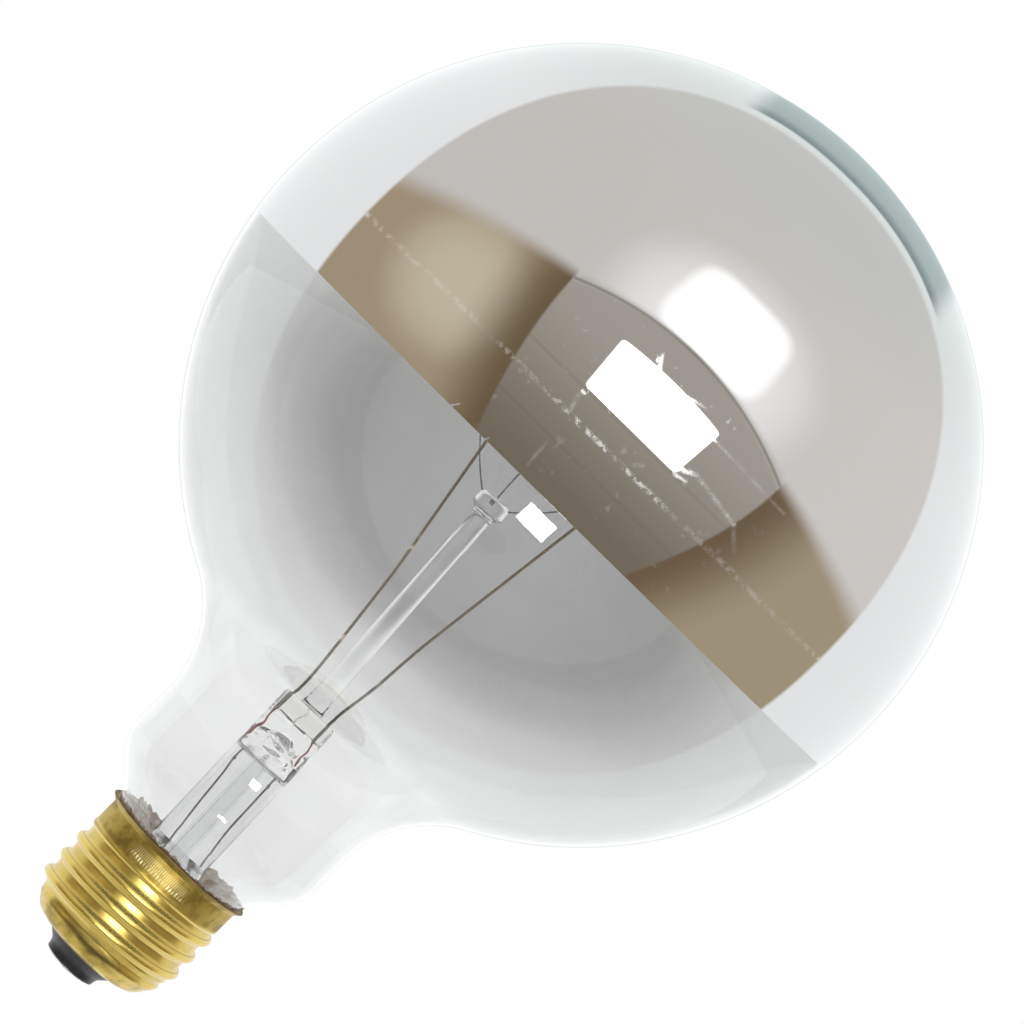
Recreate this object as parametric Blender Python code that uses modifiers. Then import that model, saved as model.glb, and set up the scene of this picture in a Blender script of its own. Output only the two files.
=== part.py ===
"""Half chrome globe bulb: a clear glass globe lamp with a mirrored crown and a brass screw base.

The bulb stands upright in its own frame: the flat end of the base contact is at the origin, +Z runs
along the bulb's axis to the crown, and the lamp's stem leans slightly towards -X. Lengths are in metres.
"""

import math

import bmesh
import bpy
from mathutils import Matrix, Vector

# Fits and facets
GAP = 0.0003                    # clearance between pieces that touch on the real bulb
OVERRUN = 0.002                 # how far a cutter runs past the face that it cuts
MERGE_DISTANCE = 0.00001
GLOBE_STEPS = 40                # facets round the globe, the coat, the shell and the cement
SMALL_STEPS = 24                # facets round the stem and the small base pieces
CUTTER_STEPS = 12
GLOBE_ARC_STEPS = 18            # facets from the crown down to the waist
COAT_ARC_STEPS = 12
WAIST_STEPS = 4
SHOULDER_STEPS = 3
BASE_NECK_STEPS = 2
FLARE_STEPS = 4
BUTTON_STEPS = 3

# Screw shell, rolled from brass sheet
SHELL_WALL = 0.0003
THREAD_CREST_RADIUS = 0.0131
THREAD_DEPTH = 0.0009
THREAD_ROOT_RADIUS = THREAD_CREST_RADIUS - THREAD_DEPTH
THREAD_PITCH = 0.003629
THREAD_CREST_Z = 0.0149         # height of one crest on the +X side
THREAD_ROWS_PER_TURN = 6
THREAD_RUN_IN = 0.0012          # height over which the thread grows out of the collar
COLLAR_STEP = 0.0005            # how far the collar stays inside the thread's crests
COLLAR_RADIUS = THREAD_CREST_RADIUS - COLLAR_STEP
COLLAR_HEIGHT = 0.0041
RIM_Z = 0.0252
RIM_FLARE_WIDTH = 0.0011
RIM_FLARE_HEIGHT = 0.0010
RIM_CURVE_SHARE = 0.33          # share of the flare's height and width that its foot keeps
COLLAR_TOP_Z = RIM_Z - RIM_FLARE_HEIGHT
COLLAR_FOOT_Z = COLLAR_TOP_Z - COLLAR_HEIGHT
FOOT_TOP_Z = 0.0092
FOOT_HEIGHT = 0.0052
FOOT_END_Z = FOOT_TOP_Z - FOOT_HEIGHT
SHELL_HOLE_RADIUS = 0.0070
# Shares of the foot's width and height, from its top edge inwards
FOOT_OUTLINE_SHARES = ((0.93, 0.88), (0.85, 0.72), (0.76, 0.50), (0.57, 0.23), (0.40, 0.11), (0.0, 0.0))
FOOT_THREAD_FADE_SHARE = 0.5    # share of the foot's height in which the thread dies out

# Glass envelope
GLOBE_RADIUS = 0.06195
GLOBE_CENTRE_Z = 0.1143
GLASS_WALL = 0.0008
NECK_RADIUS = 0.0192
WAIST_FILLET = 0.020            # hollow curve between the globe and the neck
SHOULDER_FILLET = 0.009         # rounded shoulder at the foot of the neck
CONE_ANGLE = math.radians(43)   # slope of the cone under the shoulder, from the axis
BASE_NECK_CLEARANCE = 0.0013    # between the thread's roots and the part of the neck in the base
BASE_NECK_RADIUS = THREAD_ROOT_RADIUS - SHELL_WALL - BASE_NECK_CLEARANCE
BASE_NECK_FILLET = 0.0025
CONE_FOOT_DROP = 0.00197        # from the shell's rim down to where the cone runs into the base neck
BASE_NECK_DEPTH = 0.0077        # how far the neck reaches below the shell's rim
NECK_END_Z = RIM_Z - BASE_NECK_DEPTH

# Mirror coat on the crown half
COAT_THICKNESS = 0.00025
COAT_EDGE_DROP = 0.0095         # how far the coat's edge lies below the globe's centre
COAT_EDGE_Z = GLOBE_CENTRE_Z - COAT_EDGE_DROP

# Black glass insulator in the foot of the shell
INSULATOR_FLANGE_WIDTH = 0.0014
INSULATOR_FLANGE_RADIUS = SHELL_HOLE_RADIUS + INSULATOR_FLANGE_WIDTH
INSULATOR_FLANGE_RISE = 0.0011  # above the shell's foot, clear of its wall
INSULATOR_FLANGE_HEIGHT = 0.0013
INSULATOR_FLANGE_Z = FOOT_END_Z + INSULATOR_FLANGE_RISE
INSULATOR_TOP_Z = INSULATOR_FLANGE_Z + INSULATOR_FLANGE_HEIGHT
INSULATOR_CONE_Z = 0.0020
INSULATOR_CONE_STEP = 0.00035
INSULATOR_LIP_TOP_Z = 0.0015
INSULATOR_LIP_WALL = 0.0003
INSULATOR_END_Z = 0.00075

# Centre contact, an eyelet in the insulator, and the solder that fills it
CONTACT_RADIUS = 0.0040
CONTACT_FACE_Z = 0.00045
CONTACT_THICKNESS = 0.00055
CONTACT_TUBE_DROP = 0.0009      # how far the eyelet's tube ends below the insulator's top
CONTACT_TUBE_TOP_Z = INSULATOR_TOP_Z - CONTACT_TUBE_DROP
CONTACT_TUBE_RADIUS = 0.0026
CONTACT_TUBE_WALL = 0.0004
SOLDER_HEIGHT = 0.0016
SOLDER_CHAMFER = 0.00035

# Basing cement between the neck and the shell
CEMENT_BREAK_SHARE = 0.67       # share of its height at which its inner face follows the glass outwards

# Stem: a flare tube fused into the neck, with the press that seals the wires
STEM_LEAN = math.radians(1.5)
FLARE_RISE = 0.0009             # above the neck's open end
FLARE_BASE_Z = NECK_END_Z + FLARE_RISE
FLARE_RIM_CLEARANCE = 0.0004
FLARE_HEIGHT = 0.009
STEM_TUBE_RADIUS = 0.0052
STEM_WALL = 0.00085
STEM_TUBE_HEIGHT = 0.0285
STEM_DOME_HEIGHT = 0.0025
PRESS_SINK = 0.0005             # how far the press reaches down into the tube
PRESS_HEIGHT = 0.0100
PRESS_BOTTOM = STEM_TUBE_HEIGHT - PRESS_SINK
PRESS_TOP = PRESS_BOTTOM + PRESS_HEIGHT
PRESS_SIDE_STEP = 0.0001        # how far each edge of the press stays inside the tube's outer face
PRESS_WIDTH = 2 * (STEM_TUBE_RADIUS - PRESS_SIDE_STEP)
PRESS_THICKNESS = 0.0036
PRESS_EDGE_ROUND = 0.0008
PRESS_WIRE_INSET = 0.00135      # from the press's edge to the middle of a wire
PRESS_WIRE_OFFSET = PRESS_WIDTH / 2 - PRESS_WIRE_INSET
EXHAUST_HOLE_RADIUS = 0.0010
EXHAUST_HOLE_SINK = 0.0005      # how far below the press the hole starts
EXHAUST_HOLE_RISE = 0.0055
EXHAUST_HOLE_REACH = 0.0040

# Exhaust tube, tipped off in the base
EXHAUST_RADIUS = 0.0015
EXHAUST_WALL = 0.0005
EXHAUST_TOP_CLEARANCE = 0.0014  # below the press
EXHAUST_TIP = 0.0094            # how far the tip reaches below the foot of the flare
EXHAUST_TIP_LENGTH = 0.0025
EXHAUST_TIP_RADIUS_SHARE = 0.7

# Glass rod on the press, ending in the button that holds the support wires
ROD_LEAN = math.radians(1.75)
ROD_RADIUS = 0.0017
ROD_LENGTH = 0.0410
ROD_FOOT_RADIUS = 0.0022
ROD_FOOT_HEIGHT = 0.0012
BUTTON_RADIUS = 0.0029
BUTTON_HEIGHT = 0.0026
BUTTON_ROUND = 0.0008

# Wires
LEAD_RADIUS = 0.00025
SEAL_WIRE_RADIUS = 0.0002
OUTER_LEAD_RADIUS = 0.0002
SUPPORT_RADIUS = 0.00015
FILAMENT_COIL_RADIUS = 0.0004
SEAL_WIRE_LENGTH = 0.0067       # from the foot of the press up to where the lead is joined
LEAD_TIP_DROP = 0.0053          # below the globe's centre
LEAD_TIP_Z = GLOBE_CENTRE_Z - LEAD_TIP_DROP
LEAD_TIP_LEFT_X = -0.0118
LEAD_TIP_RIGHT_X = 0.0089
# Shares of the way out and of the way up, from the press to the tip
LEFT_LEAD_SHARES = ((0.02, 0.08), (0.25, 0.40), (0.40, 0.53), (0.66, 0.70))
RIGHT_LEAD_SHARES = ((0.03, 0.05), (0.15, 0.17), (0.23, 0.29), (0.34, 0.42), (0.66, 0.70))
# Shares of the stem's clear radius and of the tube's height, from the press down
LEFT_OUTER_LEAD_SHARES = ((0.86, 0.88), (0.78, 0.77), (0.67, 0.54), (0.54, 0.30), (0.48, 0.20), (0.60, 0.06))
RIGHT_OUTER_LEAD_SHARES = ((0.81, 0.94), (0.76, 0.87), (0.77, 0.72), (0.79, 0.54), (0.85, 0.32), (0.86, 0.12))
LEAD_TURN_CLEARANCE = 0.0010    # how far the side lead stays below the neck's end
SIDE_LEAD_END_CLEARANCE = 0.0008
SIDE_LEAD_SHARE = 0.55          # share of the neck's clearance at which the side lead stands
# Shares of the side lead's standing radius, along X and Y, as it turns under the neck
SIDE_LEAD_TURN_SHARES = ((-0.33, 0.25), (-0.20, 0.75), (0.0, 1.0))
# Shares of the stem's clear radius and of the height between the insulator and the exhaust tube's shoulder
CONTACT_LEAD_SHARES = ((0.90, 1.0), (0.50, 0.42), (0.13, 0.13))
CONTACT_LEAD_END_CLEARANCE = 0.0006
SUPPORT_BOW = 0.00065           # how far a support wire sags at its middle

# Filament, hung from the leads and three support wires
HOOK_RADIUS = 0.0150
HOOK_ANGLES = {"left": math.radians(155), "centre": math.radians(100), "right": math.radians(52)}
HOOK_DROPS = {"left": 0.0061, "centre": 0.0033, "right": 0.0055}    # below the globe's centre
FILAMENT_SAG = 0.0006
FILAMENT_SPAN_STEPS = 4


def start_scene():
    """Empty the scene and make the collections for the bulb's pieces and for the cutters."""
    for old in list(bpy.data.objects):
        bpy.data.objects.remove(old, do_unlink=True)
    parts = bpy.data.collections.new("half_chrome_globe_bulb")
    cutters = bpy.data.collections.new("cutters")
    for collection in (parts, cutters):
        bpy.context.scene.collection.children.link(collection)
    return parts, cutters


PARTS, CUTTERS = start_scene()


def make_material(name, colour, roughness, metallic, alpha=1.0, transmission=0.0):
    """One Principled material for one kind of surface."""
    material = bpy.data.materials.new(name)
    material.use_nodes = True
    shader = material.node_tree.nodes["Principled BSDF"]
    shader.inputs["Base Color"].default_value = (*colour, 1.0)
    shader.inputs["Roughness"].default_value = roughness
    shader.inputs["Metallic"].default_value = metallic
    shader.inputs["Alpha"].default_value = alpha
    shader.inputs["Transmission Weight"].default_value = transmission
    return material


def add_piece(name, data, material):
    """Put a mesh or curve into the bulb as one named piece."""
    piece = bpy.data.objects.new(name, data)
    data.materials.append(material)
    PARTS.objects.link(piece)
    return piece


def outline_mesh(name, outline, closed):
    """A chain of (radius, height) points in the XZ plane, ready for a Screw modifier."""
    mesh = bpy.data.meshes.new(name)
    shape = bmesh.new()
    corners = [shape.verts.new((radius, 0, height)) for radius, height in outline]
    for upper, lower in zip(corners, corners[1:]):
        shape.edges.new((upper, lower))
    if closed:
        shape.edges.new((corners[-1], corners[0]))
    shape.to_mesh(mesh)
    shape.free()
    return mesh


def add_screw(piece, steps):
    """Turn an outline round the Z axis."""
    turn = piece.modifiers.new("turn", "SCREW")
    turn.angle = math.tau
    turn.steps = steps
    turn.render_steps = steps
    turn.use_merge_vertices = True
    turn.merge_threshold = MERGE_DISTANCE
    turn.use_smooth_shade = True


def add_wall(piece, thickness):
    """Give an open outer surface a wall that grows inwards."""
    wall = piece.modifiers.new("wall", "SOLIDIFY")
    wall.thickness = thickness
    wall.offset = -1
    wall.use_even_offset = True


def turned_solid(name, outline, steps, material, closed=False):
    """A solid turned from an outline that starts and ends on the axis, or from a closed section."""
    piece = add_piece(name, outline_mesh(name, outline, closed), material)
    add_screw(piece, steps)
    return piece


def turned_shell(name, outline, steps, thickness, material):
    """A thin wall turned from its outer line, open where the line ends off the axis."""
    piece = add_piece(name, outline_mesh(name, outline, False), material)
    add_screw(piece, steps)
    add_wall(piece, thickness)
    return piece


def arc(centre, radius, start, end, steps):
    """Points on a circular arc round centre, as (radius, height) pairs, both ends included."""
    angles = [start + (end - start) * step / steps for step in range(steps + 1)]
    return [(centre[0] + radius * math.cos(angle), centre[1] + radius * math.sin(angle)) for angle in angles]


def poly_wire(name, points, radius, material):
    """A round wire through the given points, with closed ends."""
    curve = bpy.data.curves.new(name, "CURVE")
    curve.dimensions = "3D"
    curve.bevel_depth = radius
    curve.bevel_resolution = 2
    curve.use_fill_caps = True
    spline = curve.splines.new("POLY")
    spline.points.add(len(points) - 1)
    for point, place in zip(spline.points, points):
        point.co = (*place, 1.0)
    return add_piece(name, curve, material)


def boolean(piece, tool, operation):
    """Cut a piece with a hidden tool, or join the tool to it."""
    step = piece.modifiers.new(tool.name, "BOOLEAN")
    step.object = tool
    step.operation = operation
    step.solver = "EXACT"


def add_tool(name, mesh):
    """A hidden cutter or joining block."""
    tool = bpy.data.objects.new(name, mesh)
    tool.hide_render = True
    tool.display_type = "WIRE"
    CUTTERS.objects.link(tool)
    return tool


def rod_mesh(name, start, end, radius, steps):
    """A plain cylinder between two points."""
    mesh = bpy.data.meshes.new(name)
    shape = bmesh.new()
    way = Vector(end) - Vector(start)
    turn = way.to_track_quat("Z", "Y").to_matrix().to_4x4()
    place = Matrix.Translation((Vector(start) + Vector(end)) / 2) @ turn
    bmesh.ops.create_cone(
        shape, cap_ends=True, segments=steps, radius1=radius, radius2=radius, depth=way.length, matrix=place
    )
    shape.to_mesh(mesh)
    shape.free()
    return mesh


# Envelope

def envelope_outline():
    """Outer line of the glass, from the crown down to the neck's open end."""
    waist_r = NECK_RADIUS + WAIST_FILLET
    waist_z = GLOBE_CENTRE_Z - math.sqrt((GLOBE_RADIUS + WAIST_FILLET) ** 2 - waist_r ** 2)
    meeting = math.atan2(waist_z - GLOBE_CENTRE_Z, waist_r)
    globe = arc((0, GLOBE_CENTRE_Z), GLOBE_RADIUS, math.pi / 2, meeting, GLOBE_ARC_STEPS)
    globe[0] = (0, globe[0][1])
    waist = arc((waist_r, waist_z), WAIST_FILLET, meeting + math.pi, math.pi, WAIST_STEPS)
    shoulder_r = NECK_RADIUS - SHOULDER_FILLET
    cone_width = shoulder_r + SHOULDER_FILLET * math.cos(CONE_ANGLE) - BASE_NECK_RADIUS
    cone_top_z = RIM_Z - CONE_FOOT_DROP + cone_width / math.tan(CONE_ANGLE)
    shoulder_z = cone_top_z + SHOULDER_FILLET * math.sin(CONE_ANGLE)
    shoulder = arc((shoulder_r, shoulder_z), SHOULDER_FILLET, 0, -CONE_ANGLE, SHOULDER_STEPS)
    fillet_r = BASE_NECK_RADIUS + BASE_NECK_FILLET
    touch_r = fillet_r - BASE_NECK_FILLET * math.cos(CONE_ANGLE)
    touch_z = shoulder[-1][1] - (shoulder[-1][0] - touch_r) / math.tan(CONE_ANGLE)
    fillet_z = touch_z - BASE_NECK_FILLET * math.sin(CONE_ANGLE)
    foot = arc((fillet_r, fillet_z), BASE_NECK_FILLET, math.pi - CONE_ANGLE, math.pi, BASE_NECK_STEPS)
    return globe + waist[1:] + shoulder + foot + [(BASE_NECK_RADIUS, NECK_END_Z)]


def radius_at(outline, height):
    """Radius of an outline at a height, read between its points."""
    for upper, lower in zip(outline, outline[1:]):
        if lower[1] <= height <= upper[1]:
            share = (height - lower[1]) / (upper[1] - lower[1])
            return lower[0] + share * (upper[0] - lower[0])
    return outline[-1][0]


def make_envelope(glass):
    """The blown globe and neck, one piece, open at the neck's end where the stem is fused in."""
    turned_shell("glass_envelope", envelope_outline(), GLOBE_STEPS, GLASS_WALL, glass)


def make_mirror_coat(chrome):
    """The metal coat on the outside of the crown half, ending in a crisp straight edge."""
    radius = GLOBE_RADIUS + GAP + COAT_THICKNESS
    edge = math.asin((COAT_EDGE_Z - GLOBE_CENTRE_Z) / radius)
    outline = arc((0, GLOBE_CENTRE_Z), radius, math.pi / 2, edge, COAT_ARC_STEPS)
    outline[0] = (0, outline[0][1])
    turned_shell("mirror_coat", outline, GLOBE_STEPS, COAT_THICKNESS, chrome)


# Base

def thread_swell(place):
    """Radial height of the rolled thread at a point of the shell, from its mean radius."""
    depth = (THREAD_CREST_RADIUS - THREAD_ROOT_RADIUS) / 2
    fade_bottom = FOOT_TOP_Z - FOOT_HEIGHT * FOOT_THREAD_FADE_SHARE
    run_in = min(max((COLLAR_FOOT_Z - place.z) / THREAD_RUN_IN, 0), 1)
    run_out = min(max((place.z - fade_bottom) / (FOOT_TOP_Z - fade_bottom), 0), 1)
    turn = math.atan2(place.y, place.x) / math.tau
    phase = (place.z - THREAD_CREST_Z) / THREAD_PITCH - turn
    return depth * run_in * run_out * math.cos(math.tau * phase)


def shell_outline():
    """Outer line of the shell before the thread is rolled, from the rim down to the hole in its foot."""
    mean_radius = (THREAD_CREST_RADIUS + THREAD_ROOT_RADIUS) / 2
    curve_radius = COLLAR_RADIUS + RIM_FLARE_WIDTH * RIM_CURVE_SHARE
    curve_z = COLLAR_TOP_Z + RIM_FLARE_HEIGHT * RIM_CURVE_SHARE
    rim = [(COLLAR_RADIUS + RIM_FLARE_WIDTH, RIM_Z), (curve_radius, curve_z), (COLLAR_RADIUS, COLLAR_TOP_Z)]
    rows = math.ceil((COLLAR_FOOT_Z - FOOT_TOP_Z) / THREAD_PITCH * THREAD_ROWS_PER_TURN)
    step = (COLLAR_FOOT_Z - FOOT_TOP_Z) / rows
    thread = [(mean_radius, COLLAR_FOOT_Z - step * row) for row in range(1, rows + 1)]
    foot_width = mean_radius - SHELL_HOLE_RADIUS
    foot = [
        (SHELL_HOLE_RADIUS + foot_width * out, FOOT_END_Z + FOOT_HEIGHT * up)
        for out, up in FOOT_OUTLINE_SHARES
    ]
    return rim + [(COLLAR_RADIUS, COLLAR_FOOT_Z)] + thread + foot


def make_screw_shell(brass):
    """The brass screw shell: flared rim, plain collar, rolled thread and turned-in foot."""
    guide = turned_solid("screw_shell_guide", shell_outline(), GLOBE_STEPS, brass)
    evaluated = guide.evaluated_get(bpy.context.evaluated_depsgraph_get())
    mesh = bpy.data.meshes.new_from_object(evaluated)
    mesh.name = "screw_shell"
    bpy.data.objects.remove(guide, do_unlink=True)
    for vertex in mesh.vertices:
        radius = math.hypot(vertex.co.x, vertex.co.y)
        grown = (radius + thread_swell(vertex.co)) / radius
        vertex.co.x *= grown
        vertex.co.y *= grown
    mesh.materials.clear()
    add_wall(add_piece("screw_shell", mesh, brass), SHELL_WALL)


def make_insulator(black_glass):
    """The black glass insulator, keyed behind the shell's foot, with a seat for the contact."""
    neck_radius = SHELL_HOLE_RADIUS - GAP
    seat_radius = CONTACT_RADIUS + GAP
    lip_radius = seat_radius + INSULATOR_LIP_WALL
    seat_z = CONTACT_FACE_Z + CONTACT_THICKNESS + GAP
    hole_radius = CONTACT_TUBE_RADIUS + GAP
    section = [
        (INSULATOR_FLANGE_RADIUS, INSULATOR_TOP_Z),
        (INSULATOR_FLANGE_RADIUS, INSULATOR_FLANGE_Z),
        (neck_radius, INSULATOR_FLANGE_Z),
        (neck_radius, FOOT_END_Z),
        (lip_radius + INSULATOR_CONE_STEP, INSULATOR_CONE_Z),
        (lip_radius, INSULATOR_LIP_TOP_Z),
        (lip_radius, INSULATOR_END_Z),
        (seat_radius, INSULATOR_END_Z),
        (seat_radius, seat_z),
        (hole_radius, seat_z),
        (hole_radius, INSULATOR_TOP_Z),
    ]
    turned_solid("base_insulator", section, SMALL_STEPS, black_glass, closed=True)


def make_contact(tin_plate, solder):
    """The eyelet at the foot of the base, and the solder plug whose flat end is the contact face."""
    bore = CONTACT_TUBE_RADIUS - CONTACT_TUBE_WALL
    section = [
        (CONTACT_TUBE_RADIUS, CONTACT_TUBE_TOP_Z),
        (CONTACT_TUBE_RADIUS, CONTACT_FACE_Z + CONTACT_THICKNESS),
        (CONTACT_RADIUS, CONTACT_FACE_Z + CONTACT_THICKNESS),
        (CONTACT_RADIUS, CONTACT_FACE_Z),
        (bore, CONTACT_FACE_Z),
        (bore, CONTACT_TUBE_TOP_Z),
    ]
    turned_solid("centre_contact", section, SMALL_STEPS, tin_plate, closed=True)
    plug_radius = bore - GAP
    plug = [
        (0, SOLDER_HEIGHT),
        (plug_radius, SOLDER_HEIGHT),
        (plug_radius, SOLDER_CHAMFER),
        (plug_radius - SOLDER_CHAMFER, 0),
        (0, 0),
    ]
    turned_solid("contact_solder", plug, SMALL_STEPS, solder)


def make_cement(cement):
    """The ring of cement that holds the glass neck in the shell's collar."""
    glass = envelope_outline()
    outer = COLLAR_RADIUS - SHELL_WALL - GAP
    levels = [COLLAR_FOOT_Z, COLLAR_FOOT_Z + COLLAR_HEIGHT * CEMENT_BREAK_SHARE, COLLAR_TOP_Z]
    inner = [(radius_at(glass, level) + GAP, level) for level in levels]
    section = [(outer, COLLAR_TOP_Z), (outer, COLLAR_FOOT_Z)] + inner
    turned_solid("basing_cement", section, GLOBE_STEPS, cement, closed=True)


# Stem

STEM_FRAME = Matrix.Translation((0, 0, FLARE_BASE_Z)) @ Matrix.Rotation(-STEM_LEAN, 4, "Y")
ROD_FRAME = STEM_FRAME @ Matrix.Translation((0, 0, PRESS_TOP + GAP)) @ Matrix.Rotation(-ROD_LEAN, 4, "Y")


def add_frame(name, matrix):
    """An empty that carries the pieces of a leaning axis."""
    empty = bpy.data.objects.new(name, None)
    empty.matrix_world = matrix
    PARTS.objects.link(empty)
    return empty


def stem_outline():
    """Outer line of the stem glass below the press, from the top of its dome down to the flare's rim."""
    rim_radius = BASE_NECK_RADIUS - GLASS_WALL - FLARE_RIM_CLEARANCE
    turns = [math.pi / 2 * step / FLARE_STEPS for step in range(FLARE_STEPS + 1)]
    flare_width = rim_radius - STEM_TUBE_RADIUS
    dome = []
    flare = []
    for turn in turns:
        dome.append((STEM_TUBE_RADIUS * math.sin(turn), STEM_TUBE_HEIGHT + STEM_DOME_HEIGHT * math.cos(turn)))
        flare.append((rim_radius - flare_width * math.cos(turn), FLARE_HEIGHT * (1 - math.sin(turn))))
    return dome + flare


def press_block():
    """The flat pressed slab at the stem's top, with rounded edges."""
    mesh = bpy.data.meshes.new("press_block")
    shape = bmesh.new()
    size = (PRESS_WIDTH, PRESS_THICKNESS, PRESS_TOP - PRESS_BOTTOM)
    middle = Matrix.Translation((0, 0, (PRESS_TOP + PRESS_BOTTOM) / 2))
    bmesh.ops.create_cube(shape, size=1, matrix=middle @ Matrix.Diagonal((*size, 1)))
    edges = shape.edges[:]
    bmesh.ops.bevel(
        shape, geom=edges, offset=PRESS_EDGE_ROUND, segments=2, profile=0.5, affect="EDGES", material=-1
    )
    shape.to_mesh(mesh)
    shape.free()
    return add_tool("press_block", mesh)


def make_stem(glass, stem_frame):
    """Flare, tube and press in one fused piece, with channels for the wires and the exhaust hole."""
    stem = turned_shell("stem_flare", stem_outline(), SMALL_STEPS, STEM_WALL, glass)
    press = press_block()
    hole_start = (0, 0, PRESS_BOTTOM - EXHAUST_HOLE_SINK)
    hole_end = (0, -EXHAUST_HOLE_REACH, hole_start[2] + EXHAUST_HOLE_RISE)
    hole_mesh = rod_mesh("exhaust_hole", hole_start, hole_end, EXHAUST_HOLE_RADIUS, CUTTER_STEPS)
    tools = [(press, "UNION"), (add_tool("exhaust_hole_cutter", hole_mesh), "DIFFERENCE")]
    for side, sign in (("left", -1), ("right", 1)):
        name = f"wire_channel_cutter_{side}"
        low = (sign * PRESS_WIRE_OFFSET, 0, PRESS_BOTTOM - OVERRUN)
        high = (sign * PRESS_WIRE_OFFSET, 0, PRESS_TOP + OVERRUN)
        channel = rod_mesh(name, low, high, LEAD_RADIUS + GAP, CUTTER_STEPS)
        tools.append((add_tool(name, channel), "DIFFERENCE"))
    for tool, operation in tools:
        tool.parent = stem_frame
        boolean(stem, tool, operation)
    stem.parent = stem_frame


def make_exhaust_tube(glass, stem_frame):
    """The thin tube inside the stem, closed in a drawn tip down in the base."""
    shoulder = -EXHAUST_TIP + EXHAUST_TIP_LENGTH
    outline = [
        (EXHAUST_RADIUS, PRESS_BOTTOM - EXHAUST_TOP_CLEARANCE),
        (EXHAUST_RADIUS, shoulder),
        (EXHAUST_RADIUS * EXHAUST_TIP_RADIUS_SHARE, shoulder - EXHAUST_TIP_LENGTH / 2),
        (0, -EXHAUST_TIP),
    ]
    turned_shell("exhaust_tube", outline, SMALL_STEPS, EXHAUST_WALL, glass).parent = stem_frame


def make_rod(glass, rod_frame):
    """The solid glass rod on the press, with its melted button on top."""
    top = ROD_LENGTH + BUTTON_HEIGHT
    round_x = BUTTON_RADIUS - BUTTON_ROUND
    lower = arc((round_x, ROD_LENGTH + BUTTON_ROUND), BUTTON_ROUND, 0, -math.pi / 2, BUTTON_STEPS)
    upper = arc((round_x, top - BUTTON_ROUND), BUTTON_ROUND, math.pi / 2, 0, BUTTON_STEPS)
    shaft = [(ROD_RADIUS, ROD_LENGTH), (ROD_RADIUS, ROD_FOOT_HEIGHT), (ROD_FOOT_RADIUS, 0), (0, 0)]
    turned_solid("glass_rod", [(0, top)] + upper + lower + shaft, SMALL_STEPS, glass).parent = rod_frame


# Wires

def stem_point(x, y, height):
    """World place of a point given in the leaning stem's own frame."""
    return STEM_FRAME @ Vector((x, y, height))


def lead_tip(side):
    """Where a lead ends under the filament."""
    return Vector((LEAD_TIP_LEFT_X if side == "left" else LEAD_TIP_RIGHT_X, 0, LEAD_TIP_Z))


def make_inner_lead(side, sign, shares, nickel):
    """A lead from inside the press up to the filament's end, leaning outwards."""
    foot = stem_point(sign * PRESS_WIRE_OFFSET, 0, PRESS_BOTTOM + SEAL_WIRE_LENGTH + GAP)
    exit_point = stem_point(sign * PRESS_WIRE_OFFSET, 0, PRESS_TOP + GAP)
    way = lead_tip(side) - exit_point
    route = [exit_point + Vector((way.x * out, way.y * out, way.z * up)) for out, up in shares]
    poly_wire(f"inner_lead_{side}", [foot, exit_point] + route + [lead_tip(side)], LEAD_RADIUS, nickel)


def make_seal_wire(side, sign, copper):
    """The copper-clad wire that the press is fused round."""
    top = stem_point(sign * PRESS_WIRE_OFFSET, 0, PRESS_BOTTOM + SEAL_WIRE_LENGTH)
    foot = stem_point(sign * PRESS_WIRE_OFFSET, 0, PRESS_BOTTOM)
    poly_wire(f"seal_wire_{side}", [top, foot], SEAL_WIRE_RADIUS, copper)


def tube_route(sign, shares):
    """Points of an outer lead inside the stem tube, from the press down to the flare."""
    clear_radius = STEM_TUBE_RADIUS - STEM_WALL
    start = stem_point(sign * PRESS_WIRE_OFFSET, 0, PRESS_BOTTOM - GAP)
    return [start] + [stem_point(sign * clear_radius * out, 0, STEM_TUBE_HEIGHT * up) for out, up in shares]


def make_side_lead(wire):
    """The lead that leaves the flare, turns round the neck's end and stands at the shell's wall."""
    standing = BASE_NECK_RADIUS + BASE_NECK_CLEARANCE * SIDE_LEAD_SHARE
    turn_z = NECK_END_Z - LEAD_TURN_CLEARANCE
    end_z = COLLAR_FOOT_Z - SIDE_LEAD_END_CLEARANCE
    route = tube_route(-1, LEFT_OUTER_LEAD_SHARES)
    for along, across in SIDE_LEAD_TURN_SHARES:
        route.append(Vector((standing * along, standing * across, turn_z)))
    route.append(Vector((0, standing, end_z)))
    poly_wire("outer_lead_left", route, OUTER_LEAD_RADIUS, wire)


def make_contact_lead(wire):
    """The lead that runs past the exhaust tip into the contact's eyelet."""
    clear_radius = STEM_TUBE_RADIUS - STEM_WALL
    room = FLARE_BASE_Z - EXHAUST_TIP + EXHAUST_TIP_LENGTH - INSULATOR_TOP_Z
    route = tube_route(1, RIGHT_OUTER_LEAD_SHARES)
    for out, up in CONTACT_LEAD_SHARES:
        route.append(Vector((clear_radius * out, 0, INSULATOR_TOP_Z + room * up)))
    route.append(Vector((0, 0, CONTACT_TUBE_TOP_Z)))
    route.append(Vector((0, 0, SOLDER_HEIGHT + CONTACT_LEAD_END_CLEARANCE)))
    poly_wire("outer_lead_right", route, OUTER_LEAD_RADIUS, wire)


def hook_place(name):
    """Where a support wire holds the filament."""
    middle_x = (LEAD_TIP_LEFT_X + LEAD_TIP_RIGHT_X) / 2
    angle = HOOK_ANGLES[name]
    x = middle_x + HOOK_RADIUS * math.cos(angle)
    return Vector((x, HOOK_RADIUS * math.sin(angle), GLOBE_CENTRE_Z - HOOK_DROPS[name]))


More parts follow.
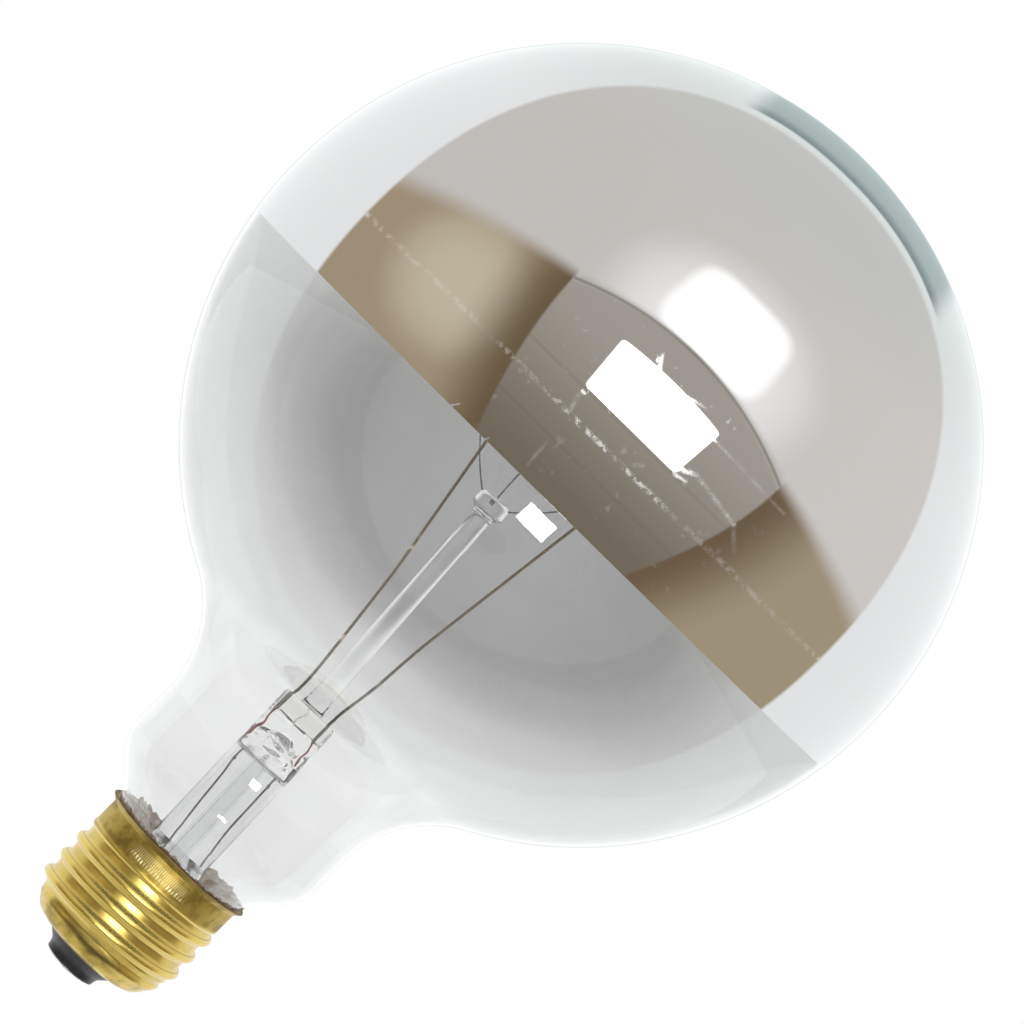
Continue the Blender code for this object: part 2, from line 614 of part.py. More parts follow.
def make_supports(molybdenum):
    """Thin wires fanned out from the button, each ending just under the filament."""
    button = ROD_FRAME @ Vector((0, 0, ROD_LENGTH + BUTTON_HEIGHT / 2))
    drop = FILAMENT_COIL_RADIUS + GAP + SUPPORT_RADIUS
    for name in HOOK_ANGLES:
        hook = hook_place(name) - Vector((0, 0, drop))
        way = hook - button
        flat_way = Vector((way.x, way.y, 0)).normalized()
        start = button + flat_way * (BUTTON_RADIUS + GAP + SUPPORT_RADIUS)
        bend = start.lerp(hook, 0.5) - Vector((0, 0, SUPPORT_BOW))
        poly_wire(f"support_wire_{name}", [start, bend, hook], SUPPORT_RADIUS, molybdenum)


def make_filament(tungsten):
    """The coiled filament, drawn as the round outer shape of its coil, sagging from hook to hook."""
    lift = Vector((0, 0, FILAMENT_COIL_RADIUS + GAP + LEAD_RADIUS))
    hooks = [hook_place(name) for name in HOOK_ANGLES]
    stops = [lead_tip("left") + lift] + hooks + [lead_tip("right") + lift]
    route = [stops[0]]
    for start, end in zip(stops, stops[1:]):
        for step in range(1, FILAMENT_SPAN_STEPS + 1):
            share = step / FILAMENT_SPAN_STEPS
            sag = FILAMENT_SAG * math.sin(math.pi * share)
            route.append(start.lerp(end, share) - Vector((0, 0, sag)))
    poly_wire("filament", route, FILAMENT_COIL_RADIUS, tungsten)


def main():
    clear_glass = make_material("clear_glass", (0.86, 0.87, 0.86), 0.02, 0.0, alpha=0.35, transmission=1.0)
    chrome = make_material("mirror_chrome", (0.80, 0.80, 0.80), 0.04, 1.0)
    brass = make_material("brass", (0.74, 0.58, 0.22), 0.28, 1.0)
    black_glass = make_material("black_glass", (0.03, 0.03, 0.035), 0.25, 0.0)
    tin_plate = make_material("tin_plate", (0.55, 0.53, 0.50), 0.35, 1.0)
    solder = make_material("solder", (0.50, 0.50, 0.51), 0.40, 1.0)
    cement = make_material("cement", (0.36, 0.30, 0.25), 0.90, 0.0)
    nickel = make_material("nickel_wire", (0.38, 0.33, 0.27), 0.30, 1.0)
    copper = make_material("copper_clad_wire", (0.45, 0.16, 0.12), 0.35, 1.0)
    dark_wire = make_material("dark_wire", (0.16, 0.16, 0.16), 0.45, 1.0)
    tungsten = make_material("tungsten", (0.30, 0.30, 0.31), 0.45, 1.0)

    stem_frame = add_frame("stem_frame", STEM_FRAME)
    rod_frame = add_frame("rod_frame", ROD_FRAME)
    make_envelope(clear_glass)
    make_mirror_coat(chrome)
    make_screw_shell(brass)
    make_insulator(black_glass)
    make_contact(tin_plate, solder)
    make_cement(cement)
    make_stem(clear_glass, stem_frame)
    make_exhaust_tube(clear_glass, stem_frame)
    make_rod(clear_glass, rod_frame)
    for side, sign, shares in (("left", -1, LEFT_LEAD_SHARES), ("right", 1, RIGHT_LEAD_SHARES)):
        make_inner_lead(side, sign, shares, nickel)
        make_seal_wire(side, sign, copper)
    make_side_lead(dark_wire)
    make_contact_lead(dark_wire)
    make_supports(tungsten)
    make_filament(tungsten)


main()
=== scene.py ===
"""Looks of the half chrome globe bulb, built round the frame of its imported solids.

The globe is blown clear glass with a bright metal coat on its crown half. A glass stem carries the
wires, the rod and the filament, and a rolled brass screw base is cemented to the neck. Lengths are in
metres: +Z runs from the base contact to the crown, and the photograph's view looks along +Y.
"""

import math

import bmesh
import bpy
from mathutils import Matrix, Vector, noise


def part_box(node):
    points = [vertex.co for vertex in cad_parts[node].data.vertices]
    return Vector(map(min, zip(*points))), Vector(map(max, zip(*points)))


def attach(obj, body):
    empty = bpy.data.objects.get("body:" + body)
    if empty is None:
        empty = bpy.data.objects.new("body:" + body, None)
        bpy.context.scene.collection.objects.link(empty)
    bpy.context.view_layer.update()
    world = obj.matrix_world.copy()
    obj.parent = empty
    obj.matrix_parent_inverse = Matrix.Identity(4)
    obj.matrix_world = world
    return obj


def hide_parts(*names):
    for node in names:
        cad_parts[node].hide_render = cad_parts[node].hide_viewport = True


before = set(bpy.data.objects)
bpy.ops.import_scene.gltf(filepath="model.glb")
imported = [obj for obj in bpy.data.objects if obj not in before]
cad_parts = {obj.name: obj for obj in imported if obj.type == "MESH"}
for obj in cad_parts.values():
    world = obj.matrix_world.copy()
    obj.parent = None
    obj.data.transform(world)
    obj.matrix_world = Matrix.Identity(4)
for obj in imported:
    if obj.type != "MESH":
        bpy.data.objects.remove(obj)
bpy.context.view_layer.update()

# Places read from the frame
GLASS_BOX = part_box("glass_envelope")
COAT_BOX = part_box("mirror_coat")
SHELL_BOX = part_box("screw_shell")
CEMENT_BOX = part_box("basing_cement")
INSULATOR_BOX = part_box("base_insulator")
CONTACT_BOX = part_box("centre_contact")
SOLDER_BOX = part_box("contact_solder")
GLOBE_Z = GLASS_BOX[1].z - GLASS_BOX[1].x
COAT_RADIUS = COAT_BOX[1].z - GLOBE_Z
COAT_EDGE_LIFT = 0.0005
COAT_EDGE_Z = COAT_BOX[0].z + COAT_EDGE_LIFT
RIM_Z = SHELL_BOX[1].z
FOOT_Z = SHELL_BOX[0].z
NECK_END_Z = GLASS_BOX[0].z

# Facets
ROUND_STEPS = 192
SMALL_STEPS = 96
GLOBE_ARC_STEPS = 96
FILLET_STEPS = 20
FLARE_STEPS = 12
CORNER_ARC_STEPS = 8
CORNER_CUTS = 3
SMOOTH_STEPS = 6
RING_STEPS = 5
WIRE_STEPS = 8
SAG_STEPS = 12
COLLAR_ROWS = 16
THREAD_ROWS = 110
THREAD_EASE_ROWS = 8
CEMENT_ROWS = 10
SHARP_ANGLE = math.radians(40)
WELD = 0.000001
EDGE_GUARD = 0.00003

# Glass and coat
GLASS_WALL = 0.0005
COAT_WALL = 0.00004
COAT_SEAT = 0.00002
GLASS_RADIUS = COAT_RADIUS - COAT_WALL - COAT_SEAT
NECK_RADIUS = 0.0192
WAIST_FILLET = 0.020
SHOULDER_FILLET = 0.009
CONE_ANGLE = math.radians(43)
BASE_NECK_RADIUS = 0.0106
BASE_NECK_FILLET = 0.0025
CONE_FOOT_DROP = 0.00197

# Screw shell
SHELL_WALL = 0.0003
CREST_RADIUS = 0.0131
THREAD_DEPTH = 0.0009
MEAN_RADIUS = CREST_RADIUS - THREAD_DEPTH / 2
THREAD_PITCH = 0.003629
CREST_SHARPNESS = 2.4
CREST_Z = 0.0147
CREST_RUN_IN = 0.0012
GROOVE_RUN_IN = 0.0004
THREAD_RUN_OUT = 0.0020
THREAD_END_Z = 0.0062
COLLAR_RADIUS = CREST_RADIUS - 0.0005
COLLAR_TOP_Z = RIM_Z - 0.0010
COLLAR_FOOT_Z = COLLAR_TOP_Z - 0.0041
RIM_RADIUS = SHELL_BOX[1].x
FOOT_TOP_Z = 0.0092
SHELL_HOLE_RADIUS = 0.0070
FOOT_OUTLINE_SHARES = (
    (1.0, 1.0), (0.93, 0.88), (0.85, 0.72), (0.76, 0.50), (0.57, 0.23), (0.40, 0.11), (0.0, 0.0),
)

# Marks on the shell, at places round its front and up it: rows of ticks with their height, its far and
# close reach and the ticks' pitch, and a burn patch that is partly painted shade on the foot's front
LOW_TICKS = (0.0217, 0.00050, 0.00020, 0.00056)
HIGH_TICKS = (0.0228, 0.0008, 0.0006, 0.00037)
BURN_AND_SHADE_PLACE, BURN_AND_SHADE_SIZE = (0.0005, 0.0070), (0.0072, 0.0014)

# Insulator, contact and solder
INSULATOR_GAP = 0.0001
INSULATOR_FLANGE = 0.0013
INSULATOR_TIP = ((0.00495, 0.0021), (0.0047, 0.0015))
INSULATOR_END_RADIUS = 0.0046
INSULATOR_HOLE_RADIUS = 0.0029
INSULATOR_ROUNDING = 0.00025
CONTACT_SEAT_RADIUS, CONTACT_SEAT_Z = 0.0043, 0.0013
CONTACT_PLATE = 0.0010
CONTACT_ROUNDING = 0.0002
EYELET_RADIUS, EYELET_BORE = 0.0026, 0.0022
SOLDER_DOME = ((0.0, 0.0005), (0.0001, 0.0002), (0.00035, 0.0))

# Cement
CEMENT_CLIMB = 0.0003
CEMENT_RAGGED = 0.0007
CEMENT_SEAT = 0.00006
CEMENT_GAP = 0.0001
CEMENT_BROW = 0.0003
CEMENT_BRIM = 0.0004

# Stem, in its own leaning frame
STEM_LEAN = math.radians(1.5)
FLARE_BASE_Z = NECK_END_Z + 0.0009
STEM_FRAME = Matrix.Translation((0, 0, FLARE_BASE_Z)) @ Matrix.Rotation(-STEM_LEAN, 4, "Y")
FLARE_RADIUS = 0.0094
FLARE_HEIGHT = 0.009
FLARE_LIP = 0.0002
STEM_RADIUS = 0.0052
STEM_WALL = 0.00085
PRESS_TOP = 0.0380
PRESS_FOOT = 0.0340
PRESS_LOBE = 0.0044
PRESS_BLUR = 0.0003
PRESS_Z = (FLARE_BASE_Z + PRESS_FOOT, FLARE_BASE_Z + PRESS_TOP)
LOBE_THINNING = 0.35
HOLLOW_TOP = 0.0264
HOLLOW_CORNER = 0.0008
STEM_UNEVEN = 0.17
STEM_RIPPLES = 520
MELT_START = 0.0015
EXHAUST_RADIUS = 0.0015
EXHAUST_WALL = 0.0005
EXHAUST_TOP = 0.0261
EXHAUST_TIP = 0.0094
EXHAUST_TAPER = 0.0025

# Rings of the stem above the flare: height, half width, half depth and squareness
STEM_BODY = (
    (0.0240, STEM_RADIUS, STEM_RADIUS, 2), (0.0262, 0.0052, 0.0050, 2.05), (0.0280, 0.00518, 0.0045, 2.2),
    (0.0298, 0.00515, 0.0038, 2.4), (0.0315, 0.00512, 0.0031, 2.7), (0.0328, 0.0051, 0.0027, 3.0),
    (0.0336, 0.0051, 0.0023, 3.2), (0.0342, 0.0051, 0.0019, 3.6), (0.0350, 0.0051, 0.0017, 4.0),
    (0.0368, 0.0051, 0.0017, 4.0), (0.0375, 0.00505, 0.00165, 3.8), (0.0379, 0.0048, 0.0014, 3.4),
    (PRESS_TOP, 0.0044, 0.0010, 3.0), (PRESS_TOP, 0.0022, 0.0004, 2.4), (PRESS_TOP, 0.0, 0.0, 2),
)

# Air left in the melted glass: bubbles as place and half sizes, thin seams as places and radius
STEM_BUBBLES = (
    ((0.0001, -0.0006, 0.0302), (0.0019, 0.0017, 0.0013)),
    ((0.0002, 0.0000, 0.0279), (0.0014, 0.0012, 0.0004)),
    ((-0.0001, -0.0012, 0.0270), (0.0006, 0.0005, 0.00045)),
)
STEM_SEAMS = (
    (((-0.0006, 0, 0.0378), (-0.0001, 0, 0.0370), (-0.0002, 0, 0.0360), (-0.0006, 0, 0.0350),
      (-0.0004, 0, 0.0335)), 0.00016),
    (((-0.0024, -0.0005, 0.0302), (-0.0019, -0.0006, 0.0300), (-0.0017, -0.0006, 0.0290)), 0.00018),
    (((0.0020, -0.0005, 0.0300), (0.0023, -0.0006, 0.0304), (0.0028, -0.0005, 0.0302)), 0.00018),
)

# Rod and button, above the press: the foot as (radius, height), the neck as (radius, drop below the button)
ROD_LEAN = math.radians(1.75)
ROD_FRAME = STEM_FRAME @ Matrix.Translation((0, 0, PRESS_TOP + 0.0001)) @ Matrix.Rotation(-ROD_LEAN, 4, "Y")
ROD_RADIUS = 0.0017
ROD_LENGTH = 0.0400
ROD_FOOT = ((0, 0), (0.0020, 0), (0.0022, 0.0002), (0.0020, 0.0008), (0.0018, 0.0016), (ROD_RADIUS, 0.0026))
ROD_NECK = ((ROD_RADIUS, 0.0010), (0.0019, 0.0003), (0.0024, 0.0))
BUTTON_RADIUS = 0.0029
BUTTON_HEIGHT = 0.0030
BUTTON_ROUNDING = 0.0009
BUTTON_CROWN = 0.0001

# Wires: radius, and places along the leaning plane of the stem as (x, z)
LEAD_RADIUS = 0.00025
SEAL_RADIUS = 0.00016
OUTER_RADIUS = 0.00017
BEAD_RADIUS = 0.0003
SUPPORT_RADIUS = 0.00015
LEAD_TIP_Z = GLOBE_Z - 0.0053
LEAD_PLACES = {
    "left": ((-0.0049, 0.0523), (-0.0048, 0.0559), (-0.00475, 0.0604), (-0.0066, 0.0774),
             (-0.0076, 0.0843), (-0.0109, 0.1040), (-0.0118, LEAD_TIP_Z)),
    "right": ((0.0026, 0.0523), (0.0026, 0.0563), (0.0028, 0.0587), (0.0037, 0.0650),
              (0.0042, 0.0714), (0.0049, 0.0781), (0.00825, 0.1039), (0.0089, LEAD_TIP_Z)),
}
SEAL_PLACES = {
    "left": ((-0.0049, 0.0525), (-0.00465, 0.0505), (-0.0044, 0.0485), (-0.0046, 0.0450)),
    "right": ((0.0026, 0.0525), (0.0026, 0.0500), (0.0029, 0.0477)),
}
OUTER_PLACES = {
    "left": ((-0.0045, 0.0458), (-0.0044, 0.0423), (-0.0039, 0.0390), (-0.0033, 0.0330),
             (-0.0025, 0.0265), (-0.0022, 0.0240), (-0.0022, 0.0200)),
    "right": ((0.0032, 0.0473), (0.00275, 0.0445), (0.00265, 0.0425), (0.0028, 0.0380),
              (0.0030, 0.0330), (0.0038, 0.0270), (0.0041, 0.0245), (0.0040, 0.0190), (0.0039, 0.0115),
              (0.0022, 0.0085), (0.0006, 0.0070), (0.0, 0.0055), (0.0, 0.0022)),
}
WELD_PLACES = {"left": (-0.0043, 0.0421), "right": (0.00267, 0.0425)}
SIDE_LEAD_GAP = 0.0007
SIDE_LEAD_DROP = 0.0010

# Filament and its supports: each hook's turn round the axis and its drop below the globe's middle
HOOK_RADIUS = 0.0150
HOOK_MIDDLE_X = -0.00145
HOOKS = {"left": (155, 0.0061), "centre": (100, 0.0033), "right": (52, 0.0055)}
HOOK_TURNS = (-60, -20, 20, 60, 100, 140)
HOOK_GAP = 0.00005
SUPPORT_SUNK = 0.0006
SUPPORT_SAG = 0.00065
COIL_RADIUS = 0.0004
COIL_WIRE_RADIUS = 0.00007
COIL_PITCH = 0.00024
COIL_TURN_STEPS = 12
LEAD_TO_COIL = 0.0004
FILAMENT_SAG = 0.0006

# Drawn and plated metals: dark and light tone, roughness, and features in each metre
METALS = {
    "dark_wire": ((0.07, 0.07, 0.07), (0.20, 0.19, 0.18), 0.35, 900.0),
    "copper_clad_wire": ((0.17, 0.03, 0.025), (0.38, 0.09, 0.07), 0.30, 900.0),
    "tungsten": ((0.22, 0.22, 0.23), (0.42, 0.42, 0.43), 0.35, 900.0),
    "tin_plate": ((0.42, 0.40, 0.37), (0.62, 0.60, 0.57), 0.32, 1200.0),
    "solder": ((0.40, 0.40, 0.41), (0.58, 0.58, 0.60), 0.35, 1200.0),
}

# The photograph's view
CAMERA_PLACE = Vector((0.0005, -0.7, 0.112))
CAMERA_AIM = Vector((-0.00037, 0.0, 0.09956))
CAMERA_ROLL = math.radians(45.37)
FRAME_WIDTH = 0.1595
SENSOR = 36.0
GLASS_BOUNCES, MIRROR_BOUNCES = 32, 8

# The coat's brightness, and the scuffs and painted glints on its front as the view shows them: lines
# with two ends as (x, z), width and strength, a dotted ring, and fields of specks with their middle, far
# and close reach and strength
MIRROR_LEVEL = 0.64
SCUFFS_AND_GLINTS = (
    ((-0.0009, 0.1335), (0.0004, 0.1315), 0.00045, 0.9),
    ((0.0066, 0.1316), (0.0098, 0.1323), 0.00040, 0.8),
    ((0.0134, 0.1225), (0.0160, 0.1239), 0.00060, 1.0),
    ((0.0136, 0.1215), (0.0156, 0.1219), 0.00045, 0.8),
    ((0.0160, 0.1239), (0.0256, 0.1224), 0.00050, 0.9),
    ((0.0256, 0.1224), (0.0285, 0.1195), 0.00050, 0.35),
    ((0.0140, 0.1297), (0.0300, 0.1291), 0.00040, 0.35),
    ((-0.0057, 0.1207), (-0.0053, 0.1206), 0.00042, 1.0),
    ((-0.0057, 0.1195), (-0.0050, 0.1172), 0.00055, 0.4),
    # Painted glint: the centre support wire showing through the thin coat
    ((-0.0041, 0.1110), (-0.0038, 0.1065), 0.00040, 0.35),
    ((0.0052, 0.1190), (0.0054, 0.1184), 0.00050, 0.5),
    ((0.0080, 0.1181), (0.0092, 0.1190), 0.00050, 0.5),
    # Painted glints: two wire ends showing bright through the coat at its edge
    ((-0.0189, 0.1045), (-0.0180, 0.1058), 0.00018, 0.9),
    ((-0.0113, 0.1045), (-0.0110, 0.1052), 0.00020, 0.7),
)
LINE_STRENGTH = 0.70
SCUFF_RING_Z = 0.1168
SCUFF_RING_WOBBLE = 0.0010
SPECK_FIELDS = (
    ((0.0010, 0.1325), (0.0170, 0.0024), (0.0120, 0.0008), 0.5),
    ((0.0040, 0.1180), (0.0300, 0.0150), (0.0180, 0.0080), 0.15),
)

# The room, as the coat shows it in the view. Level lines have a middle, a height and a bend. Sides of
# the panel have a top x, how far out they bend, a top height and the height over which they do
WALL_LINE = (0.001, 0.1348, 4.2)
PANEL_LINE = (0.003, 0.1373, 9.6)
PANEL_LEFT = (-0.0192, 0.0058, 0.1335, 0.0285)
PANEL_RIGHT = (0.0266, -0.0077, 0.1318, 0.0270)
PANEL_COURSES = (0.1212, 0.1122)
PATCH_PLACE, PATCH_SIZE = (-0.031, 0.119), (0.014, 0.014)
SWEEP_PLACE, SWEEP_SIZE = (0.0003, 0.118), (0.0495, 0.0543)
WINDOW_PLACE, WINDOW_SIZE, WINDOW_LIGHT = (0.0036, 0.1266), (0.0100, 0.0049), (6.0, 6.0, 6.0)
WINDOW_BOW, WINDOW_NARROWING = 6.0, 8.0
LAMP_PLACE, LAMP_SIZE, LAMP_LIGHT = (0.0038, 0.1431), (0.0088, 0.0058), (1.9, 1.9, 1.9)
LAMP_NARROWING, LAMP_FULL_Z = 8.0, 0.1430
GLOW_PLACE, GLOW_SIZE = (0.0038, 0.1390), (0.0230, 0.0160)
PAPER_LIGHT, TABLE_LIGHT = (0.80, 0.78, 0.72), (0.20, 0.18, 0.14)

# What the world shines with: to the eye, through glass to the sides, inside glass and on matt surfaces
WHITE = (1.0, 1.0, 1.0)
SIDE_LIGHT = (0.82, 0.82, 0.82)
INSIDE_LIGHT = (0.66, 0.66, 0.67)
MATT_LIGHT = (0.75, 0.75, 0.75)

# Lamps: a soft one above, and small ones low in front, of which one glints in the clear glass and a
# wider one shines on the thread
SOFT_LAMP_PLACE, SOFT_LAMP_AIM = Vector((-0.5, -0.7, 1.6)), Vector((0, 0, 0.08))
SOFT_LAMP_SIZE, SOFT_LAMP_POWER = 1.6, 14.0
GLINT_PLACE, GLINT_AIM = Vector((0.039, -0.372, -0.0355)), Vector((0.0, -0.03, 0.06))
GLINT_SIZE, GLINT_RADIANCE = (0.064, 0.040), 30.0
THREAD_LAMP_SIZE, THREAD_LAMP_RADIANCE = (0.20, 0.13), 6.0

# Shade behind the globe: an oval, and its grey level at shares of the oval's size
SHEET_Y = 0.068
SHEET_HALF = 0.095
SHADE_PLACE, SHADE_SIZE, SHADE_POWER = (-0.001, 0.100), (0.0475, 0.031), 2.0
SHADE_REACH = 1.6
SHADE_LEVELS = (
    (0.0, 0.41), (0.25, 0.40), (0.48, 0.37), (0.62, 0.345), (0.71, 0.355), (0.78, 0.41),
    (0.84, 0.45), (0.92, 0.53), (0.97, 0.62), (1.04, 0.70), (1.12, 0.77), (1.25, 0.87),
    (1.38, 0.94), (1.55, 1.0),
)

# Floor, a plain pale square under the bulb
FLOOR_Z = -0.25
FLOOR_HALF = 1.3
FLOOR_TONE, FLOOR_GLOW = (0.80, 0.80, 0.80), 0.4


# Turned and swept shapes

def clamped(share):
    """A share kept between 0 and 1."""
    return min(max(share, 0), 1)


def arc(centre, radius, start, end, steps):
    """Points on a circular arc, as (radius, height) pairs, both ends included."""
    angles = [start + (end - start) * step / steps for step in range(steps + 1)]
    return [(centre[0] + radius * math.cos(angle), centre[1] + radius * math.sin(angle)) for angle in angles]


def through(points, steps):
    """A smooth line through the given points, with the given steps between each two."""
    places = [Vector(point) for point in points]
    places = [2 * places[0] - places[1]] + places + [2 * places[-1] - places[-2]]
    line = []
    for a, b, c, d in zip(places, places[1:], places[2:], places[3:]):
        for step in range(steps):
            t = step / steps
            bend = (2 * a - 5 * b + 4 * c - d) * t ** 2
            line.append(0.5 * (2 * b + (c - a) * t + bend + (3 * b - a - 3 * c + d) * t ** 3))
    line.append(places[-2])
    return line


def pairs_through(points, steps):
    """A smooth line through (radius, height) places, as plain pairs."""
    return [tuple(place) for place in through(points, steps)]


def turned(outlines, steps, closed=False):
    """A bmesh turned round Z from (radius, height) outlines, its seams and poles welded."""
    shape = bmesh.new()
    for outline in outlines:
        corners = [shape.verts.new((place[0], 0, place[1])) for place in outline]
        edges = [shape.edges.new(pair) for pair in zip(corners, corners[1:])]
        if closed:
            edges.append(shape.edges.new((corners[-1], corners[0])))
        bmesh.ops.spin(
            shape, geom=corners + edges, cent=(0, 0, 0), axis=(0, 0, 1), angle=math.tau,
            steps=steps, use_merge=True, use_duplicate=False
        )
    bmesh.ops.remove_doubles(shape, verts=shape.verts, dist=WELD)
    bmesh.ops.recalc_face_normals(shape, faces=shape.faces)
    return shape


def loft(sections, segments):
    """A bmesh through level rings of (height, half width, half depth, squareness), closed at its ends."""
    shape = bmesh.new()
    ring = bmesh.ops.create_circle(shape, cap_ends=False, segments=segments, radius=1)["verts"]
    turns = [math.atan2(vertex.co.y, vertex.co.x) for vertex in ring]
    edges = shape.edges[:]
    for number, (height, half_x, half_y, power) in enumerate(sections):
        if number:
            made = bmesh.ops.extrude_edge_only(shape, edges=edges)["geom"]
            ring = [item for item in made if isinstance(item, bmesh.types.BMVert)]
            edges = [item for item in made if isinstance(item, bmesh.types.BMEdge)]
            edges = [edge for edge in edges if all(vertex in ring for vertex in edge.verts)]
        for vertex, turn in zip(ring, turns):
            x = math.copysign(abs(math.cos(turn)) ** (2 / power), math.cos(turn))
            y = math.copysign(abs(math.sin(turn)) ** (2 / power), math.sin(turn))
            vertex.co = (half_x * x, half_y * y, height)
    bmesh.ops.remove_doubles(shape, verts=shape.verts, dist=WELD)
    bmesh.ops.recalc_face_normals(shape, faces=shape.faces)
    return shape


def put(name, data):
    """A new object in the scene, at the origin."""
    item = bpy.data.objects.new(name, data)
    bpy.context.scene.collection.objects.link(item)
    return item


def add_piece(name, mesh, material, nodes):
    """Put a finished mesh into the bulb: smooth, with its finish, standing for its solids."""
    piece = put(name, mesh)
    mesh.materials.clear()
    mesh.materials.append(material)
    mesh.shade_smooth()
    mesh.set_sharp_from_angle(angle=SHARP_ANGLE)
    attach(piece, "root")
    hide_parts(*nodes)
    return piece


def piece_from(name, shape, material, nodes, place=None):
    """A piece from a bmesh, moved to its place in its own mesh."""
    mesh = bpy.data.meshes.new(name)
    if place is not None:
        bmesh.ops.transform(shape, matrix=place, verts=shape.verts)
    shape.to_mesh(mesh)
    shape.free()
    return add_piece(name, mesh, material, nodes)


def add_wall(piece, thickness):
    """Give an open outer surface its wall, growing inwards."""
    wall = piece.modifiers.new("wall", "SOLIDIFY")
    wall.thickness = thickness
    wall.offset = -1
    wall.use_even_offset = True


def wire_mesh(name, lines, radius, blobs=()):
    """Round wires along lines of points, with closed ends, and melted blobs at (place, radius)."""
    curve = bpy.data.curves.new(name, "CURVE")
    curve.dimensions = "3D"
    curve.bevel_depth = radius
    curve.bevel_resolution = 2
    curve.use_fill_caps = True
    for line in lines:
        spline = curve.splines.new("POLY")
        spline.points.add(len(line) - 1)
        for point, place in zip(spline.points, line):
            point.co = (*place, 1.0)
    guide = put(name, curve)
    mesh = bpy.data.meshes.new_from_object(guide.evaluated_get(bpy.context.evaluated_depsgraph_get()))
    bpy.data.objects.remove(guide, do_unlink=True)
    shape = bmesh.new()
    shape.from_mesh(mesh)
    bmesh.ops.remove_doubles(shape, verts=shape.verts, dist=WELD)
    for place, size in blobs:
        bmesh.ops.create_icosphere(shape, subdivisions=3, radius=size, matrix=Matrix.Translation(place))
    bmesh.ops.recalc_face_normals(shape, faces=shape.faces)
    shape.to_mesh(mesh)
    shape.free()
    mesh.name = name
    return mesh


# Shader expressions

class Signal:
    """A shader socket that can stand in an expression on numbers."""

    def __init__(self, tree, socket=None):
        self.tree = tree
        self.socket = socket

    def node(self, kind, settings=None, values=None, output=0):
        """Any other node: its settings first, then the values or links of its sockets."""
        made = self.tree.nodes.new(kind)
        for name, setting in (settings or {}).items():
            if name == "stops":
                fill_ramp(made.color_ramp, setting)
            else:
                setattr(made, name, setting)
        feed(made, values or {})
        return Signal(self.tree, made.outputs[output])

    def math(self, operation, first, second=0.0):
        return self.node("ShaderNodeMath", {"operation": operation}, {0: first, 1: second})

    def __add__(self, other):
        return self.math("ADD", self, other)

    def __radd__(self, other):
        return self.math("ADD", other, self)

    def __sub__(self, other):
        return self.math("SUBTRACT", self, other)

    def __rsub__(self, other):
        return self.math("SUBTRACT", other, self)

    def __mul__(self, other):
        return self.math("MULTIPLY", self, other)

    def __rmul__(self, other):
        return self.math("MULTIPLY", other, self)

    def __truediv__(self, other):
        return self.math("DIVIDE", self, other)

    def __rtruediv__(self, other):
        return self.math("DIVIDE", other, self)

    def __pow__(self, other):
        return self.math("POWER", self, other)

    def __abs__(self):
        return self.math("ABSOLUTE", self)

    def __gt__(self, other):
        return self.math("GREATER_THAN", self, other)


def feed(node, values):
    """Set or link sockets of a node; a colour is given as three numbers."""
    for key, value in values.items():
        socket = node.inputs[key]
        if isinstance(value, Signal):
            value.tree.links.new(value.socket, socket)
        elif socket.type == "RGBA":
            socket.default_value = (*value, 1.0)
        else:
            socket.default_value = value


def fill_ramp(ramp, stops):
    """Give a ramp its (position, grey) stops."""
    while len(ramp.elements) < len(stops):
        ramp.elements.new(1.0)
    for element, (position, grey) in zip(ramp.elements, stops):
        element.position = position
        element.color = (grey, grey, grey, 1.0)


def fade(signal, low, high):
    """0 below low and 1 above high, or the other way round where low is the greater."""
    values = {"Value": signal, "From Min": low, "From Max": high}
    return signal.node("ShaderNodeMapRange", {"interpolation_type": "SMOOTHSTEP"}, values)


def mixed(mask, colour, other):
    """One colour where the mask is 0 and the other where it is 1."""
    return mask.node("ShaderNodeMix", {"data_type": "RGBA"}, {0: mask, 6: colour, 7: other}, 2)


def larger(first, second):
    """The larger of two signals at each place."""
    return first.math("MAXIMUM", first, second)


def near(signal, middle, far, close):
    """1 where a signal is close to a value, fading to 0 where it is far from it."""
    return fade(abs(signal - middle), far, close)


def vector_math(operation, first, second=(0.0, 0.0, 0.0)):
    """A Vector Math node on one or two vectors."""
    return first.node("ShaderNodeVectorMath", {"operation": operation}, {0: first, 1: second}, "Vector")


def scaled(vector, factor):
    """A vector times a number."""
    return vector.node("ShaderNodeVectorMath", {"operation": "SCALE"}, {0: vector, "Scale": factor}, "Vector")


def parts_of(vector):
    """The three parts of a vector."""
    first = vector.node("ShaderNodeSeparateXYZ", None, {0: vector}, "X")
    node = first.socket.node
    return first, Signal(vector.tree, node.outputs["Y"]), Signal(vector.tree, node.outputs["Z"])


def speckle(place, scale, detail=2.0, roughness=0.5):
    """Noise from 0 to 1 on a place, with the given features in each metre."""
    values = {"Vector": place, "Scale": scale, "Detail": detail, "Roughness": roughness}
    return place.node("ShaderNodeTexNoise", None, values)


def bumped(height, strength, distance):
    """A normal from a height."""
    values = {"Strength": strength, "Distance": distance, "Height": height}
    return height.node("ShaderNodeBump", None, values)


def light_path(signal, output):
    """What the ray that asks for a colour has been through."""
    return signal.node("ShaderNodeLightPath", output=output)


def linear(red, green, blue):
    """A colour given as screen levels from 0 to 255, in linear light."""
    return tuple(((level / 255 + 0.055) / 1.055) ** 2.4 for level in (red, green, blue))


def new_finish(name):
    """A material with a Principled shader, the shader, and the place on the object to write patterns on."""
    material = bpy.data.materials.new(name)
    material.use_nodes = True
    tree = material.node_tree
    shader = tree.nodes["Principled BSDF"]
    place = Signal(tree).node("ShaderNodeTexCoord", output="Object")
    return material, shader, place


# Finishes

